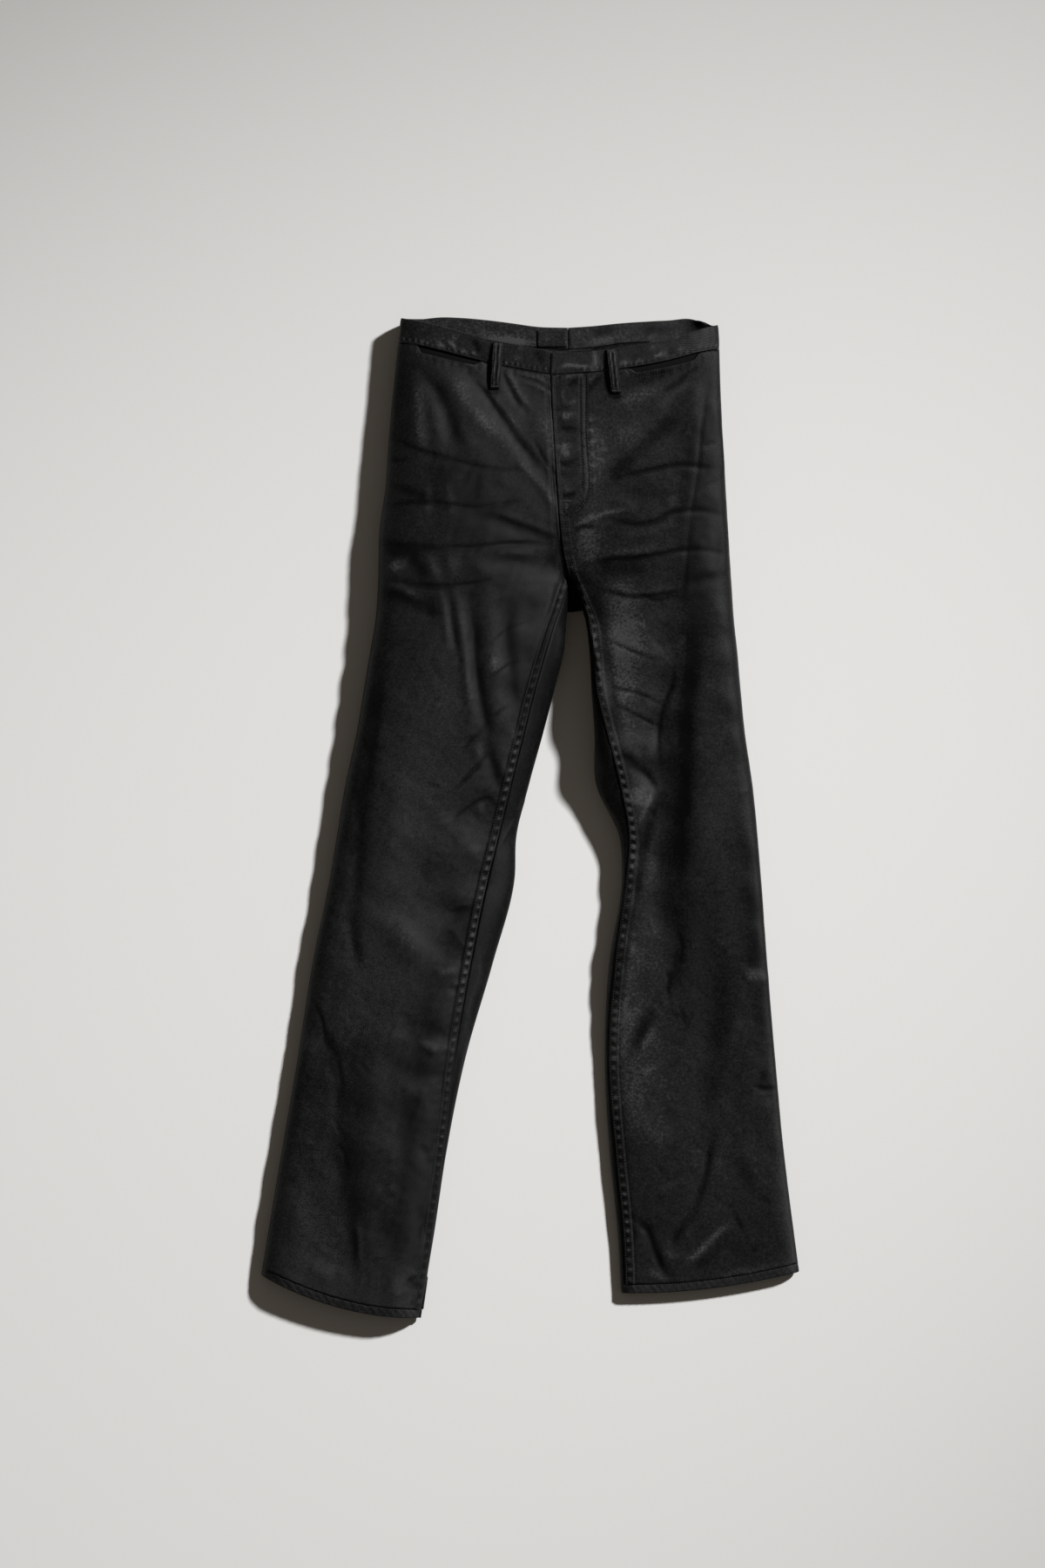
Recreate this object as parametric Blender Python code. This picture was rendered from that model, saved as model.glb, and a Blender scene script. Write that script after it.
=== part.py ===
"""Black coated jeans, laid face up and held softly open by their own stiff cloth.

Frame: +X to the wearer's left, +Y towards the waist, +Z up from the surface that they lie on.
The origin is under the middle of their outline. Tables and sizes are in millimetres:
"up" is the height above the lowest point of the hems, and "across" is the distance from the
middle of the outline, positive to the wearer's left.
"""
from collections import namedtuple

import bmesh
import bpy
import numpy as np

MM = 0.001

# Driving dimensions
LENGTH = 1148.0              # lowest point of the hems to the top of the waistband
CROTCH_UP = 844.5            # front crotch point, where the four seams meet
CROTCH_FOLD_UP = 809.5       # fold of the seat below it, on the surface
CLOTH = 1.3                  # wall of a panel
FOLDED_CLOTH = 2.4           # wall of the waistband and of a turned hem
SEAM_GAP = 0.3               # between pieces that are sewn together
CROTCH_GAP = 0.6             # the same at the crotch, where four seams meet
CROTCH_GAP_REACH = 0.06      # how far down the leg it narrows, as a share of the leg's rows
CENTRE_DEPTH = 240.0         # waist seam to crotch, down the centre front
HEM_DEPTH = 10.0
SEAT_LIFT = 2.6              # the back band lies on its belt loops
MIDDLE_ACROSS = 0.45         # middle of the outline on the "across" scale
SIDE_SEAM_WRAP = 0.12        # the front panels reach this far round the edge, as a share of their arc
WRAP_TURN = 4.7              # radians of the edge's lower roll for each whole arc

# The outline from above, and the line where the two front panels meet
Body = namedtuple("Body", "up right_outer left_outer centre_front")
BODY_SECTIONS = [
    Body(1146, -147.0, 214.5, 25.5),
    Body(1116, -150.0, 216.0, 25.5),
    Body(1068, -155.5, 217.5, 25.8),
    Body(1012, -160.5, 220.0, 28.5),
    Body(952, -164.5, 223.5, 32.5),
    Body(900, -171.5, 226.5, 36.5),
    Body(872, -172.3, 228.3, 40.5),
    Body(845, -172.8, 230.3, 47.5),
]

# Each leg: its outer edge, its inseam on top, and its inner edge
Leg = namedtuple("Leg", "up right_outer right_inseam right_inner left_inner left_inseam left_outer")
LEG_SECTIONS = [
    Leg(845, -172.8, 47.5, 47.5, 48.5, 48.5, 230.3),
    Leg(800, -176.0, 26.5, 43.0, 64.5, 68.5, 233.2),
    Leg(765, -182.0, 15.0, 40.0, 69.0, 73.0, 237.0),
    Leg(720, -189.5, 2.0, 29.0, 71.5, 77.0, 241.0),
    Leg(670, -198.0, -10.5, 13.5, 75.0, 89.0, 246.0),
    Leg(612, -210.5, -25.0, -3.0, 77.0, 104.0, 254.5),
    Leg(552, -220.5, -39.5, -17.5, 103.5, 114.5, 260.5),
    Leg(504, -228.5, -51.5, -18.5, 106.5, 111.5, 264.5),
    Leg(408, -248.0, -71.0, -42.5, 92.0, 99.0, 271.5),
    Leg(300, -265.0, -89.0, -72.5, 87.0, 92.0, 280.5),
    Leg(192, -283.5, -102.0, -94.5, 92.5, 99.5, 290.5),
    Leg(96, -299.5, -115.0, -109.0, 102.0, 108.5, 302.5),
    Leg(3, -315.0, -128.0, -125.0, 107.0, 112.0, 315.0),
]

# How full each side lies: the height of its crown and of its edges above the surface, and how
# far in from an edge the cloth reaches its crown
Fill = namedtuple("Fill", "up right_crown left_crown right_round left_round outer_edge inner_edge")
FILL_SECTIONS = [
    Fill(1146, 43, 43, 85, 85, 26, 26),
    Fill(1000, 53, 53, 105, 105, 25, 25),
    Fill(900, 58, 58, 110, 110, 22, 24),
    Fill(800, 54, 54, 95, 95, 16, 24),
    Fill(640, 44, 43, 80, 80, 13, 20),
    Fill(520, 36, 34, 70, 70, 12, 15),
    Fill(380, 31, 26, 60, 55, 10, 11),
    Fill(240, 28, 21, 48, 36, 9, 8),
    Fill(110, 27, 17, 42, 22, 8.5, 7.5),
    Fill(3, 26, 14, 38, 14, 8, 7),
]

# Edges of the waistband: their height at each share of the way from the side to the middle
Waist = namedtuple(
    "Waist",
    "share right_front_top right_front_seam left_front_top left_front_seam"
    " right_back_top right_back_seam left_back_top left_back_seam",
)
WAIST_SECTIONS = [
    Waist(1.00, 1107.0, 1081.0, 1105.5, 1081.0, 1136.0, 1111.5, 1136.0, 1111.5),
    Waist(0.80, 1114.0, 1087.0, 1106.5, 1083.0, 1137.0, 1113.5, 1138.0, 1113.5),
    Waist(0.60, 1120.5, 1094.0, 1111.5, 1087.0, 1141.5, 1117.0, 1141.0, 1118.0),
    Waist(0.40, 1129.5, 1102.5, 1117.5, 1093.0, 1145.5, 1120.0, 1143.0, 1119.5),
    Waist(0.25, 1137.0, 1109.5, 1122.0, 1099.5, 1147.5, 1120.0, 1144.0, 1117.5),
    Waist(0.12, 1142.0, 1115.0, 1132.0, 1106.5, 1148.0, 1119.5, 1143.0, 1115.0),
    Waist(0.00, 1146.0, 1118.0, 1138.0, 1110.5, 1146.0, 1118.0, 1138.0, 1110.5),
]

# Lower edge of each hem: its height at the outer and the inner edge, and its sag between them
Hem = namedtuple("Hem", "side inner bow")
HEMS = {"right": Hem(49.0, 0.2, 12.7), "left": Hem(53.0, 28.5, 6.5)}

# Slits of the front pockets, just under the waistband, as shares of a front panel's arc
POCKET_FROM, POCKET_TO, POCKET_TAPER = 0.42, 0.69, 0.03
POCKET_DROP = 7.5            # how far the panel's edge lies below the waistband there
POCKET_LINE = 300.0          # waist seam to the crotch row, down through the slit
FACING_DEPTH = 14.0

# Belt loops by the middle of their upper and lower ends
Loop = namedtuple("Loop", "name layer top_across top_up low_across low_up")
BELT_LOOPS = [
    Loop("belt_loop_front_right", "front", -35.5, 1117.0, -39.0, 1064.0),
    Loop("belt_loop_front_left", "front", 94.0, 1109.0, 99.5, 1059.0),
    Loop("belt_loop_back_right", "back", -66.0, 1143.0, -68.0, 1091.0),
    Loop("belt_loop_back_centre", "back", 44.5, 1134.0, 44.5, 1082.0),
    Loop("belt_loop_back_left", "back", 150.0, 1139.0, 152.0, 1087.0),
]
LOOP_WIDTH = 11.5
LOOP_CLOTH = 1.8
LOOP_BOW = 2.2

FLY_WIDTH = 39.0
FLY_LENGTH = 157.0
FLY_CURVE = 42.0             # length of the J at the foot of the placket
FLY_INSET = 1.0              # the placket ends this far inside the fly's edge and the waist seam
FLY_TURN = 0.93              # how much of its width the J takes off, squared
PATCH_CLOTH = 0.8
PATCH_WIDTH = 34.0
PATCH_DEPTH = 19.0

SIDE_OF = {"right": -1.0, "left": 1.0}
CENTRE_BACK_TOP = 44.5       # "across" of the centre-back seam at the waist
CENTRE_BACK_FOLD = 48.0      # and at the fold of the seat
CLIMB_FROM = 0.86            # share of the body's rows below which the seat rises into the crotch
SEAT_HINGE = 0.8             # the part of a back row beyond this share of it rises there
SKEW_AT_CROTCH = 44.0        # how much lower the crotch row lies on the surface than on top
CROTCH_SIDE_UP = 790.0       # outer end of the crotch row
ROLL_SPREAD, ROLL_START = 0.9, 2.0    # how far in the cloth meets the surface, by the edge's height


def smooth(table, column, up):
    """Read a column at any value of the table's first one, along a smooth curve through the rows."""
    heights = np.array([row[0] for row in table], float)[::-1]
    values = np.array([getattr(row, column) for row in table], float)[::-1]
    slopes = np.gradient(values, heights)
    cell = np.clip(np.searchsorted(heights, up) - 1, 0, len(heights) - 2)
    width = heights[cell + 1] - heights[cell]
    share = (up - heights[cell]) / width
    t = np.clip(share, 0, 1)
    curve = (
        values[cell] * (1 + 2 * t) * (1 - t) ** 2
        + values[cell + 1] * t * t * (3 - 2 * t)
        + width * slopes[cell] * t * (1 - t) ** 2
        - width * slopes[cell + 1] * t * t * (1 - t)
    )
    past_end = np.where(share > 1, slopes[cell + 1], slopes[cell])
    return curve + (share - t) * width * past_end


def mix(first, second, share):
    return first + (second - first) * share


def ease(share):
    t = np.clip(share, 0, 1)
    return t * t * (3 - 2 * t)


def quarter_round(share):
    """Rises from 0 to 1 as a quarter of an ellipse does, then stays."""
    return np.sqrt(np.clip(1 - (1 - np.clip(share, 0, 1)) ** 2, 0, 1))


def outer_edge(half, up):
    body = smooth(BODY_SECTIONS, half + "_outer", up)
    leg = smooth(LEG_SECTIONS, half + "_outer", up)
    return np.where(up > CROTCH_UP, body, leg)


def inner_edge(half, up):
    return smooth(LEG_SECTIONS, half + "_inner", np.minimum(up, CROTCH_UP))


def half_gap(v):
    """Half the gap along the centre front and the inseam."""
    wider = ease(1 - np.abs(v - 1) / CROTCH_GAP_REACH)
    return mix(SEAM_GAP, CROTCH_GAP, wider) / 2


def front_line(half, up):
    """Where a front panel ends: the centre front, then the inseam."""
    centre = smooth(BODY_SECTIONS, "centre_front", up)
    inseam = smooth(LEG_SECTIONS, half + "_inseam", up)
    return np.where(up > CROTCH_UP, centre, inseam)


def top_height(half, across, up):
    """Height of the upper side above the surface, inside the outline."""
    side = SIDE_OF[half]
    from_outer = np.maximum(side * (outer_edge(half, up) - across), 0)
    centre = smooth(BODY_SECTIONS, "centre_front", np.maximum(up, CROTCH_UP))
    from_crotch = np.hypot(across - centre, np.maximum(up - CROTCH_UP, 0))
    from_edge = np.maximum(side * (across - inner_edge(half, up)), 0)
    from_inner = np.where(up > CROTCH_UP, from_crotch, from_edge)
    crown = smooth(FILL_SECTIONS, half + "_crown", up)
    reach = smooth(FILL_SECTIONS, half + "_round", up)
    edge = mix(
        smooth(FILL_SECTIONS, "outer_edge", up),
        smooth(FILL_SECTIONS, "inner_edge", up),
        from_outer / np.maximum(from_outer + from_inner, 1e-6),
    )
    fullness = quarter_round(from_outer / reach) * quarter_round(from_inner / reach)
    return mix(edge, crown, fullness)


def row_ends(half, v):
    """Heights of a row's ends: outer, inner on top, and inner on the surface for the body and the leg.

    v runs down the jeans: -1 to 0 is the waistband, 0 to 1 the body, 1 to 2 the leg, 2 to 3 the hem.
    """
    top, seam = WAIST_SECTIONS[-1], WAIST_SECTIONS[0]
    side_top, side_seam = (getattr(top, half + "_front_" + line) for line in ("top", "seam"))
    front_top, front_seam = (getattr(seam, half + "_front_" + line) for line in ("top", "seam"))
    back_top, back_seam = (getattr(seam, half + "_back_" + line) for line in ("top", "seam"))
    hem = HEMS[half]
    band, body, leg = np.clip(v + 1, 0, 1), np.clip(v, 0, 1), np.clip(v - 1, 0, 1)
    turn_up = HEM_DEPTH * (1 - np.clip(v - 2, 0, 1))
    outer = mix(mix(side_top, side_seam, band), CROTCH_SIDE_UP, body)
    outer = np.where(v > 1, mix(CROTCH_SIDE_UP, hem.side + turn_up, leg), outer)
    front = mix(mix(front_top, front_seam, band), CROTCH_UP, body)
    front = np.where(v > 1, mix(CROTCH_UP, hem.inner + turn_up, leg), front)
    back = mix(mix(back_top, back_seam, band), CROTCH_FOLD_UP, np.clip(v / CLIMB_FROM, 0, 1))
    climbing = np.clip((v - CLIMB_FROM) / (1 - CLIMB_FROM), 0, 1)
    under = mix(CROTCH_FOLD_UP, CROTCH_UP - SKEW_AT_CROTCH, climbing)
    under = np.where(v > 1, front - SKEW_AT_CROTCH * (1 - leg) ** 3, under)
    return outer, front, back, under


def waist_bend(half, layer, share, v):
    """How much higher than a straight row the waistband's edges lie, fading out down the body."""
    ends = [WAIST_SECTIONS[-1], WAIST_SECTIONS[0]]
    bends = []
    for line in ("top", "seam"):
        column = half + "_" + layer + "_" + line
        straight = mix(getattr(ends[0], column), getattr(ends[1], column), share)
        bends.append(smooth(WAIST_SECTIONS, column, share) - straight)
    fade = (1 - np.clip(v, 0, 1)) ** 2
    return mix(bends[0], bends[1], np.clip(v + 1, 0, 1)) * fade


def front_arc(half, u, v):
    """Upper side of a row: u runs from the inner line (0) past the outline to the side seam (1)."""
    side = SIDE_OF[half]
    outer_up, front_up, _, _ = row_ends(half, v)
    arc = 1 - u * (1 + SIDE_SEAM_WRAP)
    share = np.sin(np.clip(arc, 0, 1) * np.pi / 2) ** 2
    sag = HEMS[half].bow * 4 * share * (1 - share) * np.clip(v - 1, 0, 1) ** 3
    up = mix(outer_up, front_up, share) + waist_bend(half, "front", share, v) - sag
    inner = front_line(half, front_up) + side * half_gap(v)
    across = mix(outer_edge(half, outer_up), inner, share)
    height = top_height(half, across, up)
    turn = WRAP_TURN * np.clip(-arc, 0, None)
    return with_roll(half, across, up, height, turn)


def with_roll(half, across, up, height, turn):
    """Turn points at the outline down under it: turn is the angle round the lower roll."""
    edge = smooth(FILL_SECTIONS, "outer_edge", up)
    reach = roll_reach(edge)
    rolled = (
        across - SIDE_OF[half] * reach * (1 - np.cos(turn)),
        np.where(turn > 0, edge * (1 - np.sin(turn)), height),
    )
    return np.stack([rolled[0], up, rolled[1]], -1)


def roll_reach(edge_height):
    """How far in from the outline the cloth meets the surface."""
    return ROLL_SPREAD * edge_height + ROLL_START


def outer_roll(half, u, outer_up):
    """Lower roll of the outer edge, from the side seam (u = 1) to the surface (u = 2)."""
    edge = smooth(FILL_SECTIONS, "outer_edge", outer_up)
    start = WRAP_TURN * SIDE_SEAM_WRAP + SEAM_GAP / edge
    turn = mix(start, np.pi / 2, np.clip(u - 1, 0, 1))
    across = outer_edge(half, outer_up) - SIDE_OF[half] * roll_reach(edge) * (1 - np.cos(turn))
    return across, edge * (1 - np.sin(turn))


def body_back_arc(half, u, v):
    """Under side of a row of the body: down the roll, then along the surface to the centre back."""
    side = SIDE_OF[half]
    outer_up, _, back_up, _ = row_ends(half, v)
    rolled, height = outer_roll(half, u, outer_up)
    share = np.interp(u, [2, 3, 5], [0, SEAT_HINGE, 1])
    up = mix(outer_up, back_up, share) + waist_bend(half, "back", share, v)
    down_seat = (back_up - CROTCH_FOLD_UP) / (LENGTH - CROTCH_FOLD_UP)
    centre_back = mix(CENTRE_BACK_FOLD, CENTRE_BACK_TOP, down_seat) + side * SEAM_GAP / 2
    lift = SEAT_LIFT * ease((up - 1030) / 40) * ease(u - 1)
    return np.stack([mix(rolled, centre_back, share), up, height + lift], -1)


def leg_back_arc(half, u, v):
    """Under side of a row of the leg: outer roll, surface, inner roll, and over the top to the inseam."""
    side = SIDE_OF[half]
    outer_up, front_up, _, under_up = row_ends(half, v)
    front_up = np.minimum(front_up, CROTCH_UP)
    edge_up = mix(under_up, front_up, 0.6)
    rolled, height = outer_roll(half, u, outer_up)
    rise = smooth(FILL_SECTIONS, "inner_edge", edge_up)
    landing = inner_edge(half, under_up) + side * roll_reach(rise)
    floor_share, roll_share, top_share = (np.clip(u - k, 0, 1) for k in (2, 3, 4))
    turn = (1 - roll_share) * np.pi / 2
    edge = inner_edge(half, mix(under_up, edge_up, roll_share))
    inner_roll = edge + side * roll_reach(rise) * (1 - np.cos(turn))
    inseam = front_line(half, np.minimum(front_up, CROTCH_UP - 0.01)) - side * half_gap(v)
    over_up = mix(edge_up, front_up, top_share)
    inset = inseam - inner_edge(half, front_up)
    over = inner_edge(half, over_up) + inset * top_share ** 2
    across = np.where(u < 3, mix(rolled, landing, floor_share), np.where(u < 4, inner_roll, over))
    up = np.where(u < 3, mix(outer_up, under_up, floor_share), mix(under_up, edge_up, roll_share))
    up = np.where(u < 4, up, over_up)
    rising = rise * (1 - np.sin(turn))
    height = np.where(u < 2, height, np.where(u < 3, 0, rising))
    height = np.where(u < 4, height, top_height(half, over, over_up))
    return np.stack([across, up, height], -1)


def outside(half, u, v):
    """Outer face of one half: u from 0 to 1 is the front, from 1 to 5 the back; v as in row_ends."""
    u, v = np.broadcast_arrays(np.asarray(u, float), np.asarray(v, float))
    climb = ease((v - CLIMB_FROM) / (1 - CLIMB_FROM))[..., None]
    back = mix(body_back_arc(half, u, v), leg_back_arc(half, u, v), climb)
    return np.where((u <= 1)[..., None], front_arc(half, np.clip(u, 0, 1), v), back)


def outward(half, u, v):
    """Outward direction of the cloth, the same on both sides of a side seam or an inseam."""
    u, v = np.broadcast_arrays(np.asarray(u, float), np.asarray(v, float))
    step_u, step_v = 2e-3, 1e-3
    leg = v >= 1
    low_u = np.where(leg, (u - step_u) % 5, np.maximum(u - step_u, 0))
    high_u = np.where(leg, (u + step_u) % 5, np.minimum(u + step_u, 5))
    low_v, high_v = np.maximum(v - step_v, np.where(leg, 1, -1)), np.minimum(v + step_v, 3)
    along_u = outside(half, high_u, v) - outside(half, low_u, v)
    along_v = outside(half, u, high_v) - outside(half, u, low_v)
    normal = -SIDE_OF[half] * np.cross(along_u, along_v)
    return normal / np.linalg.norm(normal, axis=-1, keepdims=True)


def on_front(across, up):
    """Point and outward direction on the upper side, by its place from above."""
    middle = smooth(BODY_SECTIONS, "centre_front", np.maximum(up, CROTCH_UP))

    def height(x, y):
        return np.where(x < middle, top_height("right", x, y), top_height("left", x, y))

    step = 1.0
    slope_x = (height(across + step, up) - height(across - step, up)) / (2 * step)
    slope_y = (height(across, up + step) - height(across, up - step)) / (2 * step)
    normal = np.stack([-slope_x, -slope_y, np.ones_like(slope_x)], -1)
    normal /= np.linalg.norm(normal, axis=-1, keepdims=True)
    return np.stack([across, up, height(across, up)], -1), normal


def wall(name, columns, rows, place, colour, closed=False):
    """A closed wall of cloth: a unit sheet is given thickness, then place() bends it.

    place takes arrays of column values, row values and depth (0 outside, 1 inside) and
    returns points in millimetres. A closed wall joins its last column to its first.
    """
    mesh = bmesh.new()
    bmesh.ops.create_grid(mesh, x_segments=len(columns) - 1, y_segments=len(rows) - 1, size=0.5)
    if closed:
        for vertex in mesh.verts:
            turn = (vertex.co.x + 0.5) * 2 * np.pi
            vertex.co = (np.cos(turn), np.sin(turn), vertex.co.y)
        bmesh.ops.remove_doubles(mesh, verts=mesh.verts, dist=0.001)
    skin = bmesh.ops.extrude_face_region(mesh, geom=mesh.faces[:], use_keep_orig=True)
    inner = {part for part in skin["geom"] if isinstance(part, bmesh.types.BMVert)}
    vertices = list(mesh.verts)
    flat = np.array([vertex.co for vertex in vertices])
    across_share = np.arctan2(flat[:, 1], flat[:, 0]) / (2 * np.pi) % 1 if closed else flat[:, 0] + 0.5
    down_share = (flat[:, 2] if closed else flat[:, 1]) + 0.5
    column = np.array(columns)[np.rint(across_share * (len(columns) - 1)).astype(int)]
    row = np.array(rows)[np.rint(down_share * (len(rows) - 1)).astype(int)]
    depth = np.array([1.0 if vertex in inner else 0.0 for vertex in vertices])
    points = place(column, row, depth)
    for vertex, point in zip(vertices, points):
        vertex.co = ((point[0] - MIDDLE_ACROSS) * MM, (point[1] - LENGTH / 2) * MM, point[2] * MM)
    bmesh.ops.recalc_face_normals(mesh, faces=mesh.faces[:])
    data = bpy.data.meshes.new(name)
    mesh.to_mesh(data)
    mesh.free()
    data.materials.append(cloth_material(name, colour))
    piece = bpy.data.objects.new(name, data)
    bpy.context.scene.collection.objects.link(piece)


def cloth_material(name, colour):
    material = bpy.data.materials.new(name)
    material.use_nodes = True
    shader = material.node_tree.nodes["Principled BSDF"]
    shader.inputs["Base Color"].default_value = (*colour, 1.0)
    shader.inputs["Roughness"].default_value = 0.45
    shader.inputs["Metallic"].default_value = 0.0
    return material


def ring_wall(name, half, columns, rows, thickness, colour, closed=False, notch=None):
    """A piece of one half of the jeans, by its columns (u) and rows (v)."""

    def place(u, v, depth):
        if notch:
            v = np.where(v == rows[0], v + notch(u), v)
        return outside(half, u, v) - depth[:, None] * thickness * outward(half, u, v)

    wall(name, columns, rows, place, colour, closed)


COATED_BLACK = (0.012, 0.012, 0.013)
BARE_BLACK = (0.008, 0.008, 0.009)

FRONT_COLUMNS = [0, 0.05, 0.12, 0.21, 0.31, 0.42, 0.45, 0.55, 0.66, 0.69, 0.77, 0.84, 0.89, 0.95, 1]
BACK_START = 1 + 1e-6        # just past the side seam
BACK_COLUMNS = [BACK_START, 1.3, 1.65, 2, 2.15, 2.3, 2.55, 2.8, 3, 3.35, 3.7, 4, 4.5, 5]
BODY_ROWS = [0.1, 0.22, 0.34, 0.46, 0.58, 0.68, 0.78, 0.86, 0.905, 0.95, 1]
THIGH_ROWS = [1.02, 1.05, 1.09, 1.13, 1.18, 1.23, 1.27, 1.3, 1.33, 1.36, 1.4]
CALF_ROWS = [1.46, 1.53, 1.6, 1.68, 1.76, 1.84, 1.92, 2]
SEAM_SHARE = SEAM_GAP / CENTRE_DEPTH


def pocket_notch(u):
    """How far the front panel's top edge drops along its pocket, as a share of the body's rows."""
    inside = np.minimum(u - POCKET_FROM, POCKET_TO - u)
    return POCKET_DROP / POCKET_LINE * ease(inside / POCKET_TAPER)


def panels(half):
    rows = [SEAM_SHARE] + BODY_ROWS + THIGH_ROWS + CALF_ROWS
    ring_wall("front_" + half, half, FRONT_COLUMNS, rows, CLOTH, COATED_BLACK, notch=pocket_notch)
    ring_wall("back_" + half, half, BACK_COLUMNS, rows, CLOTH, COATED_BLACK)


def waistband(half):
    columns = FRONT_COLUMNS[:-1] + BACK_COLUMNS
    ring_wall("waistband_" + half, half, columns, [-1, -0.5, 0], FOLDED_CLOTH, COATED_BLACK)


def hem(half):
    columns = FRONT_COLUMNS[:-1] + BACK_COLUMNS
    rows = [2 + SEAM_GAP / HEM_DEPTH, 3]
    ring_wall("hem_" + half, half, columns, rows, FOLDED_CLOTH, COATED_BLACK, closed=True)


def pocket_facing(half):
    """Strip behind the slit, from under the waistband to below the panel's edge."""

    def place(u, v, depth):
        inset = CLOTH + 2 * SEAM_GAP + depth * CLOTH
        return outside(half, u, v) - inset[:, None] * outward(half, u, v)

    columns = [u for u in FRONT_COLUMNS if POCKET_FROM <= u <= POCKET_TO]
    rows = [2 * SEAM_SHARE, POCKET_DROP / POCKET_LINE, FACING_DEPTH / POCKET_LINE]
    wall("pocket_facing_" + half, columns, rows, place, BARE_BLACK)


def fly_placket():
    """Doubled cloth under the left front, from the fly's edge to the J-shaped stitching."""
    start = WAIST_SECTIONS[0].left_front_seam - FLY_INSET

    def place(share, along, depth):
        up = start - along * FLY_LENGTH
        into_curve = np.clip((along * FLY_LENGTH - (FLY_LENGTH - FLY_CURVE)) / FLY_CURVE, 0, 1)
        width = FLY_WIDTH * np.sqrt(1 - FLY_TURN * into_curve ** 2)
        across = front_line("left", up) + FLY_INSET + share * (width - FLY_INSET)
        base, normal = on_front(across, up)
        return base - normal * (CLOTH + 3 * SEAM_GAP + depth * CLOTH)[:, None]

    curve_rows = [0.8, 0.87, 0.93, 0.97, 1]
    wall("fly_placket", [0, 0.35, 0.7, 1], [0, 0.25, 0.5, 0.7] + curve_rows, place, COATED_BLACK)


def belt_loop(loop):
    """A narrow strip, tacked at both ends; a front one stands a little off the band."""

    def place(aside, along, depth):
        across = mix(loop.top_across, loop.low_across, along) + aside
        up = mix(loop.top_up, loop.low_up, along)
        if loop.layer == "back":
            return np.stack([across, up, depth * LOOP_CLOTH], -1)
        base, normal = on_front(across, up)
        off = SEAM_GAP + LOOP_BOW * np.sin(np.pi * along) + (1 - depth) * LOOP_CLOTH
        return base + normal * off[:, None]

    half_width = LOOP_WIDTH / 2
    columns = [-half_width, -half_width + 2, half_width - 2, half_width]
    wall(loop.name, columns, np.linspace(0, 1, 9), place, COATED_BLACK)


def inner_patch():
    """A bare patch of the same cloth inside the back band, ending at the centre-back seam."""
    top_gap = 3.0

    def place(aside, below, depth):
        across = CENTRE_BACK_TOP - 1 - PATCH_WIDTH + aside
        up = WAIST_SECTIONS[0].right_back_top - top_gap - below
        height = SEAT_LIFT + FOLDED_CLOTH + SEAM_GAP + (1 - depth) * PATCH_CLOTH
        return np.stack([across, up, height], -1)

    wall("inner_patch", [0, PATCH_WIDTH / 2, PATCH_WIDTH], [0, PATCH_DEPTH], place, BARE_BLACK)


for thing in list(bpy.data.objects):
    bpy.data.objects.remove(thing, do_unlink=True)

for half_name in ("right", "left"):
    panels(half_name)
    waistband(half_name)
    hem(half_name)
    pocket_facing(half_name)
fly_placket()
for strip in BELT_LOOPS:
    belt_loop(strip)
inner_patch()
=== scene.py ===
# Coated jeans, laid face up: the finished cloth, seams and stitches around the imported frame.
# Lengths are in millimetres until a mesh is placed; the frame's own unit is the metre.
import math
from collections import namedtuple

import bmesh
import bpy
import numpy as np
from mathutils import Matrix, Vector
from mathutils.bvhtree import BVHTree


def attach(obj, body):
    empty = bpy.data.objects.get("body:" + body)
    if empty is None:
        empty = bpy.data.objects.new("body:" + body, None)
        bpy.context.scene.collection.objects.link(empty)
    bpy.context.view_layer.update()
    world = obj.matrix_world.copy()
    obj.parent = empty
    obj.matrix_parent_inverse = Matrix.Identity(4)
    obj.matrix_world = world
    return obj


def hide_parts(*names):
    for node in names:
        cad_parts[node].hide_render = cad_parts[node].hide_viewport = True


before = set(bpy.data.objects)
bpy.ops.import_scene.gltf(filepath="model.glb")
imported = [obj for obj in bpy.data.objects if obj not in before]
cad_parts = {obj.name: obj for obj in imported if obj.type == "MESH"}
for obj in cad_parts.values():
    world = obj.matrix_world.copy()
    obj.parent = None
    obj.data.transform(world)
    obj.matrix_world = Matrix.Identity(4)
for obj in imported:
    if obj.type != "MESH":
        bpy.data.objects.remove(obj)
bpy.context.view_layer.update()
print("frame loaded")

# The cut: the same sections as the frame's solids.
mm = 0.001
cut = {
    "length": 1148.0,        # lowest point of the hems to the top of the waistband
    "middle": 0.45,          # middle of the outline on the "across" scale
    "crotchUp": 844.5,
    "crotchFoldUp": 809.5,   # fold of the seat, on the surface
    "panelCloth": 1.3,
    "foldedCloth": 2.4,
    "seamGap": 0.3,
    "crotchGap": 0.6,
    "crotchGapReach": 0.06,
    "hemDepth": 10.0,
    "seatLift": 2.6,
    "sideWrap": 0.12,        # how far the fronts reach round the edge
    "wrapTurn": 4.7,
    "rollSpread": 0.9,
    "rollStart": 2.0,
    "climbFrom": 0.86,
    "seatHinge": 0.8,
    "skewAtCrotch": 44.0,
    "crotchSideUp": 790.0,
    "centreBackTop": 44.5,
    "centreBackFold": 48.0,
    "innerRollShare": 0.6,   # how much of the way from the floor to the inseam the inner roll takes
    "seatLiftFrom": 1030.0,
    "seatLiftIn": 40.0,
    "bodyRun": 270.0,        # about the way from the waist seam to the crotch
    "spread": {"right": 0.0, "left": 1.7},   # how much wider the finished cloth is than the solids
    "inseamShift": {"right": 4.5, "left": 0.0},   # a felled inseam lies wholly on its front panel
    "inseamShiftIn": 40.0,
}
# Creases are placed in millimetres right and down from the upper left corner of the picture's
# frame, which lies here on the scales "across" and "up".
pictureCorner = {"across": -607.5, "up": 1512.5}

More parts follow.
